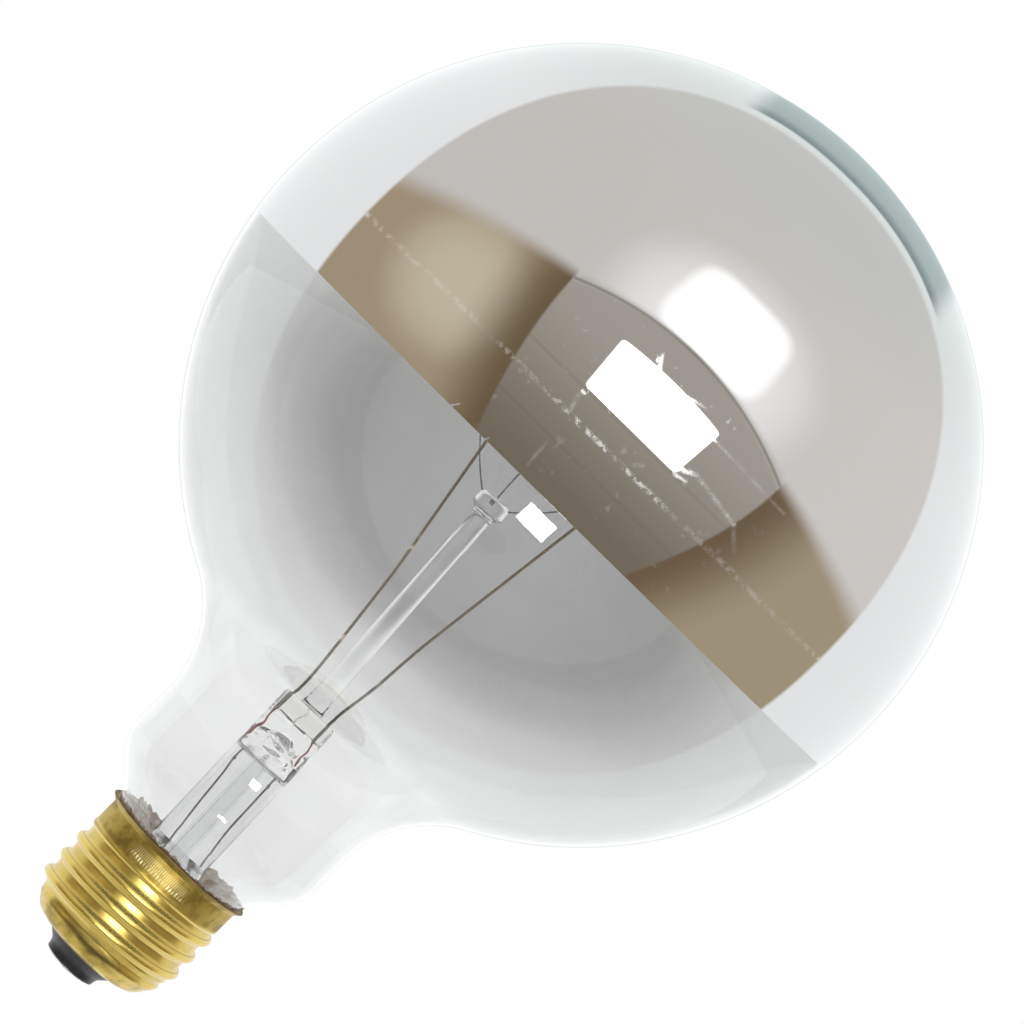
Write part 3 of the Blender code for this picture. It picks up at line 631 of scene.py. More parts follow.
def glass_finish():
    """Clear blown glass with a faint grey cast and thin streaks."""
    material, shader, place = new_finish("clear_glass")
    streak = speckle(place, 45.0, 3.0)
    tint = mixed(fade(streak, 0.35, 0.7), (0.90, 0.905, 0.905), (0.94, 0.945, 0.945))
    feed(shader, {
        "Base Color": tint, "Roughness": 0.0, "IOR": 1.5, "Specular IOR Level": 0.3,
        "Transmission Weight": 1.0,
    })
    return material


def stem_glass_finish():
    """The clearer and slightly greyer glass of the stem."""
    material, shader, place = new_finish("stem_glass")
    tint = mixed(speckle(place, 300.0), (0.93, 0.935, 0.935), (0.97, 0.97, 0.97))
    z = parts_of(place)[2]
    low, high = PRESS_Z
    pressed = fade(z, low - PRESS_BLUR, low + PRESS_BLUR) * fade(z, high + PRESS_BLUR, high - PRESS_BLUR)
    tint = mixed(pressed, tint, (0.86, 0.865, 0.845))
    feed(shader, {"Base Color": tint, "Roughness": 0.0, "IOR": 1.52, "Transmission Weight": 1.0})
    return material


def chrome_finish():
    """Mirror bright coat with scuffs: a dotted ring just above its edge and scratches on its front. Painted
    glints stand for wires showing through it.
    """
    material, shader, place = new_finish("mirror_chrome")
    x, y, z = parts_of(place)
    seen_x, seen_z = as_seen(x, y, z)
    front = fade(y, -0.005, -0.025)
    grain = speckle(place, 1500.0, 3.0, 0.6)
    cloud = speckle(place, 260.0)
    wobble = (speckle(place, 60.0) - 0.5) * SCUFF_RING_WOBBLE
    ring = near(seen_z + wobble, SCUFF_RING_Z, 0.0007, 0.0001)
    dots = fade(speckle(place, 1100.0, 2.0, 0.6), 0.42, 0.56) * fade(cloud, 0.20, 0.50)
    busy = 0.28 + 0.34 * near(seen_x, 0.0035, 0.0160, 0.0080)
    broken = 0.35 + fade(speckle(place, 420.0, 3.0, 0.6), 0.38, 0.60) * 0.65
    specks = fade(speckle(place, 620.0, 1.0), 0.66, 0.76)
    fields = [
        near(seen_x, middle[0], far[0], close[0]) * near(seen_z, middle[1], far[1], close[1]) * strength
        for middle, far, close, strength in SPECK_FIELDS
    ]
    scuffs_and_glints = larger(ring * dots * front * busy, specks * front * (fields[0] + fields[1]))
    for start, end, width, strength in SCUFFS_AND_GLINTS:
        line = soft_line(seen_x, seen_z, start, end, width)
        scuffs_and_glints = larger(scuffs_and_glints, line * front * broken * strength * LINE_STRENGTH)
    scuffs_and_glints = scuffs_and_glints * fade(grain, 0.15, 0.60)
    haze = fade(speckle(place, 35.0, 4.0, 0.6), 0.3, 0.8)
    feed(shader, {
        "Base Color": mixed(scuffs_and_glints, (MIRROR_LEVEL,) * 3, (0.80, 0.79, 0.77)), "Metallic": 1.0 - scuffs_and_glints * 0.9,
        "Roughness": 0.012 + haze * 0.012 + scuffs_and_glints * 0.4,
    })
    return material


def soft_line(x, z, start, end, width):
    """1 on a soft-edged line between two places, 0 away from it."""
    run, rise = end[0] - start[0], end[1] - start[1]
    along = ((x - start[0]) * run + (z - start[1]) * rise) / (run * run + rise * rise)
    share = along.math("MINIMUM", larger(along, 0.0), 1.0)
    off_x, off_z = x - start[0] - share * run, z - start[1] - share * rise
    return fade((off_x * off_x + off_z * off_z) ** 0.5, width * 1.2, 0.0)


def brass_finish():
    """Rolled brass: bright on the crests, brown in the grooves, mottled green-brown on the collar, with
    painted shade as dark lines on the crest flanks and over the burn patch on the foot's front.
    """
    material, shader, place = new_finish("brass")
    x, y, z = parts_of(place)
    radius = (x * x + y * y) ** 0.5
    turn = x.math("ARCTAN2", x, 0.0 - y) * COLLAR_RADIUS
    mottle = speckle(place, 260.0, 4.0, 0.6)
    fine = speckle(place, 1400.0, 3.0, 0.6)
    groove = fade(radius, CREST_RADIUS - 0.0002, CREST_RADIUS - THREAD_DEPTH)
    crest = fade(radius, CREST_RADIUS - 0.00028, CREST_RADIUS - 0.00005)
    worn = fade(radius, CREST_RADIUS - 0.00012, CREST_RADIUS)
    below_collar = fade(z, COLLAR_FOOT_Z + 0.0004, COLLAR_FOOT_Z - 0.0004)
    in_thread = below_collar * fade(z, FOOT_TOP_Z - 0.002, FOOT_TOP_Z)
    on_collar = fade(z, COLLAR_FOOT_Z - 0.0003, COLLAR_FOOT_Z + 0.0006)
    on_foot = fade(z, FOOT_TOP_Z - 0.0012, FOOT_TOP_Z - 0.0028)
    front = fade(abs(x), 0.0115, 0.004)
    patches = fade(mottle, 0.40, 0.62)
    # Patina in the grooves, and painted shade as dark lines on the crest flanks
    tarnish_and_crest_shade = in_thread * (groove * (0.15 + fade(mottle, 0.3, 0.7) * 0.35) + (crest - worn) * 0.8)
    # Mottled patches on the collar, darker towards its front and back middle, and a darker foot
    stain_and_darkening = on_collar * (0.40 + front * 0.3 + patches * 0.45)
    stain_and_darkening = stain_and_darkening + on_foot * (0.15 + fade(mottle, 0.42, 0.62) * 0.6)
    dirt_and_shade = larger(stain_and_darkening, tarnish_and_crest_shade)
    colour = mixed(dirt_and_shade, mixed(fine, (0.62, 0.46, 0.11), (0.73, 0.56, 0.16)), (0.24, 0.17, 0.035))
    # The burn patch on the foot's front is partly painted shade: it stands for a dark reflection there
    off_burn_and_shade = abs(turn - BURN_AND_SHADE_PLACE[0]) / BURN_AND_SHADE_SIZE[0] + abs(z - BURN_AND_SHADE_PLACE[1]) / BURN_AND_SHADE_SIZE[1]
    burn_and_painted_shade = fade(off_burn_and_shade, 1.3, 0.5) * fade(mottle, 0.2, 0.5)
    colour = mixed(burn_and_painted_shade * 0.85, colour, (0.09, 0.065, 0.02))
    lip = fade(z, RIM_Z - 0.00045, RIM_Z - 0.0001)
    colour = mixed(lip * 0.85, colour, (0.20, 0.11, 0.05))
    stamped = fade(abs(turn), 0.0062, 0.0048) * fade(y, 0.0, -0.002)
    uneven = 0.25 + fade(speckle(place, 600.0, 1.0), 0.40, 0.60) * 0.75
    low_row = stamped_row(turn, z, LOW_TICKS) * uneven
    tick = stamped * larger(low_row, stamped_row(turn, z, HIGH_TICKS) * 0.22)
    height = tick * 0.7 + fine * 0.06 + mottle * 0.12
    feed(shader, {
        "Base Color": mixed(tick, colour, (0.98, 0.90, 0.55)), "Metallic": 1.0,
        "Roughness": 0.24 + dirt_and_shade * 0.10 + fine * 0.06 + on_collar * 0.18 + burn_and_painted_shade * 0.2,
        "Normal": bumped(height, 0.35, 0.0002),
    })
    return material


def stamped_row(turn, z, row):
    """1 on the small ticks of a stamped row, 0 between them and above and below them."""
    middle, far, close, pitch = row
    share = (turn / pitch).math("FRACT", turn / pitch)
    return near(share, 0.5, 0.42, 0.12) * near(z, middle, far, close)


def black_glass_finish():
    """Moulded black glass, faintly rippled."""
    material, shader, place = new_finish("black_glass")
    ripple = speckle(place, 500.0, 3.0)
    feed(shader, {
        "Base Color": mixed(ripple, (0.018, 0.017, 0.020), (0.034, 0.032, 0.036)),
        "Roughness": 0.30 + ripple * 0.15, "Specular IOR Level": 0.3, "Normal": bumped(ripple, 0.2, 0.0002),
    })
    return material


def lead_finish():
    """Heat-tinted wire: grey near the press, brown above it, with short golden glints."""
    material, shader, place = new_finish("nickel_wire")
    z = parts_of(place)[2]
    tint = speckle(place, 90.0)
    glint = fade(speckle(place, 170.0, 3.0, 0.7), 0.56, 0.66)
    colour = mixed(fade(z, 0.056, 0.078), (0.090, 0.095, 0.100), (0.17, 0.125, 0.080))
    colour = mixed(fade(tint, 0.35, 0.65) * 0.6, colour, (0.23, 0.17, 0.10))
    colour = mixed(glint * fade(z, 0.060, 0.068), colour, (0.82, 0.70, 0.48))
    feed(shader, {
        "Base Color": colour, "Metallic": 1.0, "Roughness": 0.42 - glint * 0.15,
        "Normal": bumped(tint, 0.2, 0.00005),
    })
    return material


def metal_finish(name, dark, light, roughness, scale):
    """Drawn or plated metal with a slow change of tone."""
    material, shader, place = new_finish(name)
    tone = speckle(place, scale, 3.0, 0.6)
    feed(shader, {
        "Base Color": mixed(fade(tone, 0.35, 0.65), dark, light), "Metallic": 1.0,
        "Roughness": roughness + tone * 0.15, "Normal": bumped(tone, 0.2, 0.00005),
    })
    return material


def cement_finish():
    """Rough grey-brown cement, with brown burnt patches and painted warm light across its middle."""
    material, shader, place = new_finish("cement")
    x = parts_of(place)[0]
    grain = speckle(place, 1800.0, 4.0, 0.65)
    patch = speckle(place, 380.0, 3.0, 0.6)
    grey = mixed(fade(grain, 0.3, 0.7), (0.44, 0.38, 0.32), (0.78, 0.71, 0.63))
    # Painted light: a warmer, yellower tone across the cement's middle in x
    grey = mixed(fade(abs(x), 0.0075, 0.002) * 0.5, grey, (0.66, 0.54, 0.32))
    feed(shader, {
        "Base Color": mixed(fade(patch, 0.48, 0.60) * 0.85, grey, (0.33, 0.20, 0.12)),
        "Roughness": 0.95, "Normal": bumped(grain, 0.8, 0.0003),
    })
    return material


# Envelope

def glass_outline():
    """Outer line of the glass, from the crown down to the neck's open end."""
    waist_r = NECK_RADIUS + WAIST_FILLET
    waist_z = GLOBE_Z - math.sqrt((GLASS_RADIUS + WAIST_FILLET) ** 2 - waist_r ** 2)
    meeting = math.atan2(waist_z - GLOBE_Z, waist_r)
    globe = arc((0, GLOBE_Z), GLASS_RADIUS, math.pi / 2, meeting, GLOBE_ARC_STEPS)
    globe[0] = (0, globe[0][1])
    waist = arc((waist_r, waist_z), WAIST_FILLET, meeting + math.pi, math.pi, FILLET_STEPS)
    shoulder_r = NECK_RADIUS - SHOULDER_FILLET
    cone_width = shoulder_r + SHOULDER_FILLET * math.cos(CONE_ANGLE) - BASE_NECK_RADIUS
    cone_top_z = RIM_Z - CONE_FOOT_DROP + cone_width / math.tan(CONE_ANGLE)
    shoulder_z = cone_top_z + SHOULDER_FILLET * math.sin(CONE_ANGLE)
    shoulder = arc((shoulder_r, shoulder_z), SHOULDER_FILLET, 0, -CONE_ANGLE, FILLET_STEPS)
    fillet_r = BASE_NECK_RADIUS + BASE_NECK_FILLET
    touch_r = fillet_r - BASE_NECK_FILLET * math.cos(CONE_ANGLE)
    touch_z = shoulder[-1][1] - (shoulder[-1][0] - touch_r) / math.tan(CONE_ANGLE)
    fillet_z = touch_z - BASE_NECK_FILLET * math.sin(CONE_ANGLE)
    foot = arc((fillet_r, fillet_z), BASE_NECK_FILLET, math.pi - CONE_ANGLE, math.pi, FILLET_STEPS // 2)
    return globe + waist[1:] + shoulder + foot + [(BASE_NECK_RADIUS, NECK_END_Z)]


def radius_at(outline, height):
    """Radius of an outline at a height, read between its points."""
    for upper, lower in zip(outline, outline[1:]):
        if lower[1] <= height <= upper[1]:
            return lower[0] + (upper[0] - lower[0]) * (height - lower[1]) / (upper[1] - lower[1])
    return outline[-1][0]


def guarded(outline):
    """The same outline with a point close to each end, so that smooth shading stops at a wall's cut edge."""
    guards = []
    for end, inner in ((outline[0], outline[1]), (outline[-1], outline[-2])):
        guards.append(tuple(Vector(end) + (Vector(inner) - Vector(end)).normalized() * EDGE_GUARD))
    return outline[:1] + guards[:1] + outline[1:-1] + guards[1:] + outline[-1:]


def let_light_in(piece):
    """Keep clear glass from shading what is inside it."""
    piece.visible_shadow = False
    piece.visible_diffuse = False


def make_envelope(glass):
    """The blown globe and neck."""
    shape = turned([glass_outline()], ROUND_STEPS)
    piece = piece_from("globe_glass", shape, glass, ["glass_envelope"])
    add_wall(piece, GLASS_WALL)
    let_light_in(piece)


def make_crown(chrome):
    """The metal coat on the crown half, with its crisp straight edge."""
    edge = math.asin((COAT_EDGE_Z - GLOBE_Z) / COAT_RADIUS)
    outline = arc((0, GLOBE_Z), COAT_RADIUS, math.pi / 2, edge, GLOBE_ARC_STEPS)
    outline[0] = (0, outline[0][1])
    shape = turned([guarded(outline)], ROUND_STEPS)
    add_wall(piece_from("mirror_crown", shape, chrome, ["mirror_coat"]), COAT_WALL)


# Base

def thread_height(x, y, z):
    """How far the rolled thread stands out from the shell's mean radius: narrow crests, round valleys."""
    run_out = clamped((z - THREAD_END_Z) / THREAD_RUN_OUT)
    phase = (z - CREST_Z) / THREAD_PITCH - math.atan2(y, x) / math.tau
    rise = (math.cos(math.pi * phase) ** 2) ** CREST_SHARPNESS - 0.5
    start = CREST_RUN_IN if rise > 0 else GROOVE_RUN_IN
    run_in = clamped((COLLAR_FOOT_Z - z) / start)
    return THREAD_DEPTH * run_in * run_out * rise


def shell_line():
    """Outer line of the shell before its thread is rolled, from the rim down to the hole in its foot."""
    middle = ((RIM_RADIUS + 2 * COLLAR_RADIUS) / 3, COLLAR_TOP_Z + (RIM_Z - COLLAR_TOP_Z) / 3)
    rim = pairs_through([(RIM_RADIUS, RIM_Z), middle, (COLLAR_RADIUS, COLLAR_TOP_Z)], SMOOTH_STEPS)
    fall = COLLAR_FOOT_Z - COLLAR_TOP_Z
    collar = [(COLLAR_RADIUS, COLLAR_TOP_Z + fall * row / COLLAR_ROWS) for row in range(1, COLLAR_ROWS + 1)]
    step = (COLLAR_FOOT_Z - FOOT_TOP_Z) / THREAD_ROWS
    thread = []
    for row in range(1, THREAD_ROWS):
        blend = min(row / THREAD_EASE_ROWS, 1)
        thread.append((COLLAR_RADIUS + (MEAN_RADIUS - COLLAR_RADIUS) * blend, COLLAR_FOOT_Z - step * row))
    width, height = MEAN_RADIUS - SHELL_HOLE_RADIUS, FOOT_TOP_Z - FOOT_Z
    corners = [(SHELL_HOLE_RADIUS + width * out, FOOT_Z + height * up) for out, up in FOOT_OUTLINE_SHARES]
    return guarded(rim + collar + thread + pairs_through(corners, SMOOTH_STEPS))


def make_shell(brass):
    """The rolled brass shell."""
    shape = turned([shell_line()], ROUND_STEPS)
    for vertex in shape.verts:
        radius = math.hypot(vertex.co.x, vertex.co.y)
        grown = 1 + thread_height(*vertex.co) / radius
        vertex.co.x *= grown
        vertex.co.y *= grown
    piece = piece_from("threaded_shell", shape, brass, ["screw_shell"])
    add_wall(piece, SHELL_WALL)
    piece.visible_glossy = False
    return piece


def rounded(section, size):
    """A closed (radius, height) section with its corners cut round."""
    points = [Vector(place) for place in section]
    line = []
    for before, corner, after in zip(points[-1:] + points[:-1], points, points[1:] + points[:1]):
        reach = min(size, (before - corner).length / 3, (after - corner).length / 3)
        start = corner + (before - corner).normalized() * reach
        end = corner + (after - corner).normalized() * reach
        for step in range(CORNER_CUTS + 1):
            t = step / CORNER_CUTS
            line.append(tuple(start * (1 - t) ** 2 + corner * 2 * t * (1 - t) + end * t ** 2))
    return line


def make_insulator(black_glass):
    """The black glass cone with its seat for the contact."""
    rim_radius, top_z, end_z = INSULATOR_BOX[1].x, INSULATOR_BOX[1].z, INSULATOR_BOX[0].z
    neck_radius = SHELL_HOLE_RADIUS - INSULATOR_GAP
    flange_z = top_z - INSULATOR_FLANGE
    section = [
        (rim_radius, top_z), (rim_radius, flange_z), (neck_radius, flange_z),
        (neck_radius, FOOT_Z - INSULATOR_GAP), *INSULATOR_TIP, (INSULATOR_END_RADIUS, end_z),
        (CONTACT_SEAT_RADIUS, end_z), (CONTACT_SEAT_RADIUS, CONTACT_SEAT_Z),
        (INSULATOR_HOLE_RADIUS, CONTACT_SEAT_Z), (INSULATOR_HOLE_RADIUS, top_z),
    ]
    shape = turned([rounded(section, INSULATOR_ROUNDING)], SMALL_STEPS, closed=True)
    piece_from("insulator_cone", shape, black_glass, ["base_insulator"])


def make_contact(tin, solder):
    """The eyelet and the domed solder in it, flat at its end."""
    face_radius, face_z, top_z = CONTACT_BOX[1].x, CONTACT_BOX[0].z, CONTACT_BOX[1].z
    section = [
        (EYELET_RADIUS, top_z), (EYELET_RADIUS, CONTACT_PLATE), (face_radius, CONTACT_PLATE),
        (face_radius, face_z), (EYELET_BORE, face_z), (EYELET_BORE, top_z),
    ]
    shape = turned([rounded(section, CONTACT_ROUNDING)], SMALL_STEPS, closed=True)
    piece_from("contact_eyelet", shape, tin, ["centre_contact"])
    plug, low, high = SOLDER_BOX[1].x, SOLDER_BOX[0].z, SOLDER_BOX[1].z
    dome = [(plug - inset, low + rise) for inset, rise in SOLDER_DOME]
    shape = turned([[(0, high), (plug, high)] + dome + [(0, low)]], SMALL_STEPS)
    piece_from("solder_tip", shape, solder, ["contact_solder"])


def make_cement(cement):
    """The bed of cement between neck and shell, with its ragged edge climbing the glass."""
    glass = glass_outline()
    low, brow = CEMENT_BOX[0].z, RIM_Z + CEMENT_CLIMB
    outer = COLLAR_RADIUS - SHELL_WALL - CEMENT_GAP
    inner = []
    for row in range(CEMENT_ROWS + 1):
        height = low + (brow - low) * row / CEMENT_ROWS
        inner.append((radius_at(glass, height) + CEMENT_SEAT, height))
    outer_line = [
        (inner[-1][0] + CEMENT_BROW, inner[-1][1]), (outer + CEMENT_BRIM, RIM_Z - CEMENT_BRIM),
        (outer, COLLAR_TOP_Z - 2 * CEMENT_GAP), (outer, low),
    ]
    shape = turned([outer_line + inner], ROUND_STEPS, closed=True)
    for vertex in shape.verts:
        if vertex.co.z > COLLAR_TOP_Z - CEMENT_GAP:
            turn = math.atan2(vertex.co.y, vertex.co.x)
            ragged = noise.noise(Vector((math.cos(turn) * 9, math.sin(turn) * 9, 0.3)))
            ragged += 0.7 * noise.noise(Vector((math.cos(turn) * 27, math.sin(turn) * 27, 4.7)))
            share = (vertex.co.z - COLLAR_TOP_Z) / (brow - COLLAR_TOP_Z)
            new_z = vertex.co.z + CEMENT_RAGGED * (ragged - 0.1) * max(share, 0)
            on_glass = radius_at(glass, new_z) - radius_at(glass, vertex.co.z)
            grown = 1 + on_glass / math.hypot(vertex.co.x, vertex.co.y)
            vertex.co = (vertex.co.x * grown, vertex.co.y * grown, new_z)
    piece = piece_from("cement_bed", shape, cement, ["basing_cement"])
    piece.visible_glossy = False


# Stem

def stem_sections():
    """Rings of the stem glass: down inside from its hollow's top, round the flare and up to the press."""
    inner = STEM_RADIUS - STEM_WALL
    hollow = [(HOLLOW_TOP, 0.0, 0.0, 2)]
    for step in range(CORNER_ARC_STEPS + 1):
        turn = math.pi / 2 * step / CORNER_ARC_STEPS
        radius = inner - HOLLOW_CORNER * (1 - math.sin(turn))
        hollow.append((HOLLOW_TOP - HOLLOW_CORNER * (1 - math.cos(turn)), radius, radius, 2))
    hollow.append((FLARE_HEIGHT, inner, inner, 2))
    turns = [math.pi / 2 * step / FLARE_STEPS for step in range(FLARE_STEPS + 1)]
    width = FLARE_RADIUS - STEM_RADIUS
    sections = hollow[:]
    for turn in turns[:0:-1]:
        radius = FLARE_RADIUS - width * math.cos(turn) - STEM_WALL
        sections.append((FLARE_HEIGHT * (1 - math.sin(turn)) + FLARE_LIP, radius, radius, 2))
    for turn in turns[::-1]:
        radius = FLARE_RADIUS - width * math.cos(turn)
        sections.append((FLARE_HEIGHT * (1 - math.sin(turn)), radius, radius, 2))
    return sections + smooth_sections(STEM_BODY)


def smooth_sections(sections):
    """Rings on a smooth line through the given ones."""
    line = through([section[:3] for section in sections], RING_STEPS)
    powers = [section[3] for section in sections] + [sections[-1][3]]
    rings = []
    for number, place in enumerate(line):
        span, rest = divmod(number, RING_STEPS)
        power = powers[span] + (powers[span + 1] - powers[span]) * rest / RING_STEPS
        rings.append((place[0], max(place[1], 0.0), max(place[2], 0.0), power))
    return rings


def make_stem(glass):
    """Flare, tube and press, with the bubbles and the seam that melting left in them."""
    shape = loft(stem_sections(), SMALL_STEPS)
    for vertex in shape.verts:
        on_press = clamped((vertex.co.z - PRESS_FOOT + PRESS_BLUR) / (2 * PRESS_BLUR))
        lobe = clamped((abs(vertex.co.x) - PRESS_LOBE + PRESS_BLUR / 2) / PRESS_BLUR)
        melted = clamped((vertex.co.z - HOLLOW_TOP) / MELT_START) * (1 - on_press)
        ripple = noise.noise(vertex.co * STEM_RIPPLES) * STEM_UNEVEN * melted
        vertex.co.y *= (1 - LOBE_THINNING * on_press * lobe) * (1 + ripple)
    for place, size in STEM_BUBBLES:
        bubble = Matrix.Translation(place) @ Matrix.Diagonal((*size, 1))
        made = bmesh.ops.create_uvsphere(shape, u_segments=32, v_segments=20, radius=1, matrix=bubble)
        faces = list({face for vertex in made["verts"] for face in vertex.link_faces})
        bmesh.ops.reverse_faces(shape, faces=faces)
    for places, radius in STEM_SEAMS:
        seam = wire_mesh("seam", [through(places, SMOOTH_STEPS)], radius)
        before = set(shape.faces)
        shape.from_mesh(seam)
        bmesh.ops.reverse_faces(shape, faces=[face for face in shape.faces if face not in before])
        bpy.data.meshes.remove(seam)
    let_light_in(piece_from("stem_glass", shape, glass, ["stem_flare"], STEM_FRAME))


def make_exhaust_tube(glass):
    """The thin tube inside the stem, closed in a drawn tip in the base."""
    inner = EXHAUST_RADIUS - EXHAUST_WALL
    shoulder = EXHAUST_TAPER - EXHAUST_TIP
    tip = pairs_through([
        (EXHAUST_RADIUS, shoulder), (EXHAUST_RADIUS * 0.8, shoulder - 0.0011),
        (EXHAUST_WALL, shoulder - 0.0021), (0, -EXHAUST_TIP),
    ], RING_STEPS)
    bore = [
        (0, shoulder - 0.0010), (inner * 0.7, shoulder - 0.0007),
        (inner, shoulder + 0.0004), (inner, EXHAUST_TOP),
    ]
    shape = turned([[(inner, EXHAUST_TOP), (EXHAUST_RADIUS, EXHAUST_TOP)] + tip, bore], SMALL_STEPS)
    let_light_in(piece_from("exhaust_stem", shape, glass, ["exhaust_tube"], STEM_FRAME))


def make_rod(glass):
    """The solid rod on the press, with its melted foot and its button."""
    neck = [(radius, ROD_LENGTH - drop) for radius, drop in ROD_NECK]
    middle = BUTTON_RADIUS - BUTTON_ROUNDING
    lower_z, upper_z = ROD_LENGTH + BUTTON_ROUNDING, ROD_LENGTH + BUTTON_HEIGHT - BUTTON_ROUNDING
    lower = arc((middle, lower_z), BUTTON_ROUNDING, -math.pi / 2, 0, CORNER_ARC_STEPS)
    upper = arc((middle, upper_z), BUTTON_ROUNDING, 0, math.pi / 2, CORNER_ARC_STEPS)
    crown_z = ROD_LENGTH + BUTTON_HEIGHT + BUTTON_CROWN
    top = [(0.0010, crown_z), (0, crown_z)]
    shape = turned([list(ROD_FOOT) + neck + lower + upper + top], SMALL_STEPS)
    let_light_in(piece_from("support_rod", shape, glass, ["glass_rod"], ROD_FRAME))


# Wires

def flat_line(places):
    """A smooth line in the plane of the leads, through (x, z) places."""
    return through([(x, 0.0, z) for x, z in places], WIRE_STEPS)


def make_leads(nickel, copper, dark):
    """The inner leads, the sealed wires in the press and the outer leads with their weld beads."""
    standing = BASE_NECK_RADIUS + SIDE_LEAD_GAP
    turn_z = NECK_END_Z - SIDE_LEAD_DROP
    side_end = [
        (-standing * 0.33, standing * 0.25, turn_z), (-standing * 0.20, standing * 0.75, turn_z),
        (0, standing, turn_z + 0.0003), (0, standing, COLLAR_FOOT_Z - 0.0008),
    ]
    tails = {"left": side_end, "right": []}
    for side in ("left", "right"):
        inner = wire_mesh(f"lead_{side}", [flat_line(LEAD_PLACES[side])], LEAD_RADIUS)
        add_piece(f"lead_{side}", inner, nickel, [f"inner_lead_{side}"])
        sealed = wire_mesh(f"sealed_wire_{side}", [flat_line(SEAL_PLACES[side])], SEAL_RADIUS)
        add_piece(f"sealed_wire_{side}", sealed, copper, [f"seal_wire_{side}"])
        route = through([(x, 0.0, z) for x, z in OUTER_PLACES[side]] + tails[side], WIRE_STEPS)
        weld_x, weld_z = WELD_PLACES[side]
        beads = [(Vector((weld_x, 0, weld_z)), BEAD_RADIUS)]
        outer = wire_mesh(f"outer_wire_{side}", [route], OUTER_RADIUS, beads)
        add_piece(f"outer_wire_{side}", outer, dark, [f"outer_lead_{side}"])


def hook_place(name):
    """Where a support wire holds the filament."""
    angle, drop = HOOKS[name]
    turn = math.radians(angle)
    x, y = HOOK_MIDDLE_X + HOOK_RADIUS * math.cos(turn), HOOK_RADIUS * math.sin(turn)
    return Vector((x, y, GLOBE_Z - drop))


def filament_line():
    """The line that the coil follows from lead to lead, sagging between the hooks."""
    lift = Vector((0, 0, COIL_RADIUS + LEAD_TO_COIL))
    left = Vector((LEAD_PLACES["left"][-1][0], 0, LEAD_TIP_Z)) + lift
    right = Vector((LEAD_PLACES["right"][-1][0], 0, LEAD_TIP_Z)) + lift
    stops = [left] + [hook_place(name) for name in HOOKS] + [right]
    route = [stops[0]]
    for start, end in zip(stops, stops[1:]):
        for step in range(1, SAG_STEPS + 1):
            share = step / SAG_STEPS
            route.append(start.lerp(end, share) - Vector((0, 0, FILAMENT_SAG * math.sin(math.pi * share))))
    return route


def make_filament(tungsten):
    """The coiled wire, wound round its line by a loop."""
    route = filament_line()
    coil, travelled = [], 0.0
    across = Vector((0, 0, 1))
    for start, end in zip(route, route[1:]):
        way = end - start
        steps = max(int(way.length / COIL_PITCH * COIL_TURN_STEPS), 1)
        along = way.normalized()
        side = along.cross(across).normalized()
        up = side.cross(along)
        for step in range(steps):
            share = step / steps
            turn = math.tau * (travelled + way.length * share) / COIL_PITCH
            swing = side * math.cos(turn) + up * math.sin(turn)
            coil.append(start.lerp(end, share) + swing * (COIL_RADIUS - COIL_WIRE_RADIUS))
        travelled += way.length
    mesh = wire_mesh("filament_coil", [coil], COIL_WIRE_RADIUS)
    add_piece("filament_coil", mesh, tungsten, ["filament"])


def make_supports(tungsten):
    """Thin wires fanned out from the button, each ending in a small open hook under the coil."""
    button = ROD_FRAME @ Vector((0, 0, ROD_LENGTH + BUTTON_HEIGHT * 0.55))
    loop = COIL_RADIUS + SUPPORT_RADIUS + HOOK_GAP
    turns = [math.radians(angle) for angle in HOOK_TURNS]
    for name in HOOKS:
        hook = hook_place(name)
        flat_way = Vector(((hook - button).x, (hook - button).y, 0)).normalized()
        start = button + flat_way * (BUTTON_RADIUS - SUPPORT_SUNK)
        foot = hook - Vector((0, 0, loop))
        bend = start.lerp(foot, 0.5) - Vector((0, 0, SUPPORT_SAG))
        ring = [
            hook + flat_way * loop * math.cos(turn) + Vector((0, 0, loop * math.sin(turn))) for turn in turns
        ]
        line = through([start, bend, foot] + ring, WIRE_STEPS)
        mesh = wire_mesh(f"support_{name}", [line], SUPPORT_RADIUS)
        add_piece(f"support_{name}", mesh, tungsten, [f"support_wire_{name}"])


# Studio

def mirror_tone(red, green, blue):
    """What the room has to shine with for the coat to show a given screen colour."""
    return tuple(level / MIRROR_LEVEL for level in linear(red, green, blue))


def mirror_place(ray):
    """Where on the coat, seen from the camera, a reflected ray was turned: its x and z at the bulb's axis."""
    camera = CAMERA_PLACE - Vector((0, 0, GLOBE_Z))
    guess = vector_math("NORMALIZE", vector_math("SUBTRACT", ray, (0.0, 1.0, 0.0)))
    sight = vector_math("SUBTRACT", scaled(guess, COAT_RADIUS), tuple(camera))
    sight = vector_math("NORMALIZE", sight)
    normal = vector_math("NORMALIZE", vector_math("SUBTRACT", ray, sight))
    x, y, z = parts_of(vector_math("SUBTRACT", scaled(normal, COAT_RADIUS), tuple(camera)))
    shrink = -camera.y / y
    return x * shrink + camera.x, z * shrink + CAMERA_PLACE.z


def oval(x, z, centre, size, power):
    """Below 1 inside an oval or a rounded rectangle, above 1 outside it."""
    return abs((x - centre[0]) / size[0]) ** power + abs((z - centre[1]) / size[1]) ** power


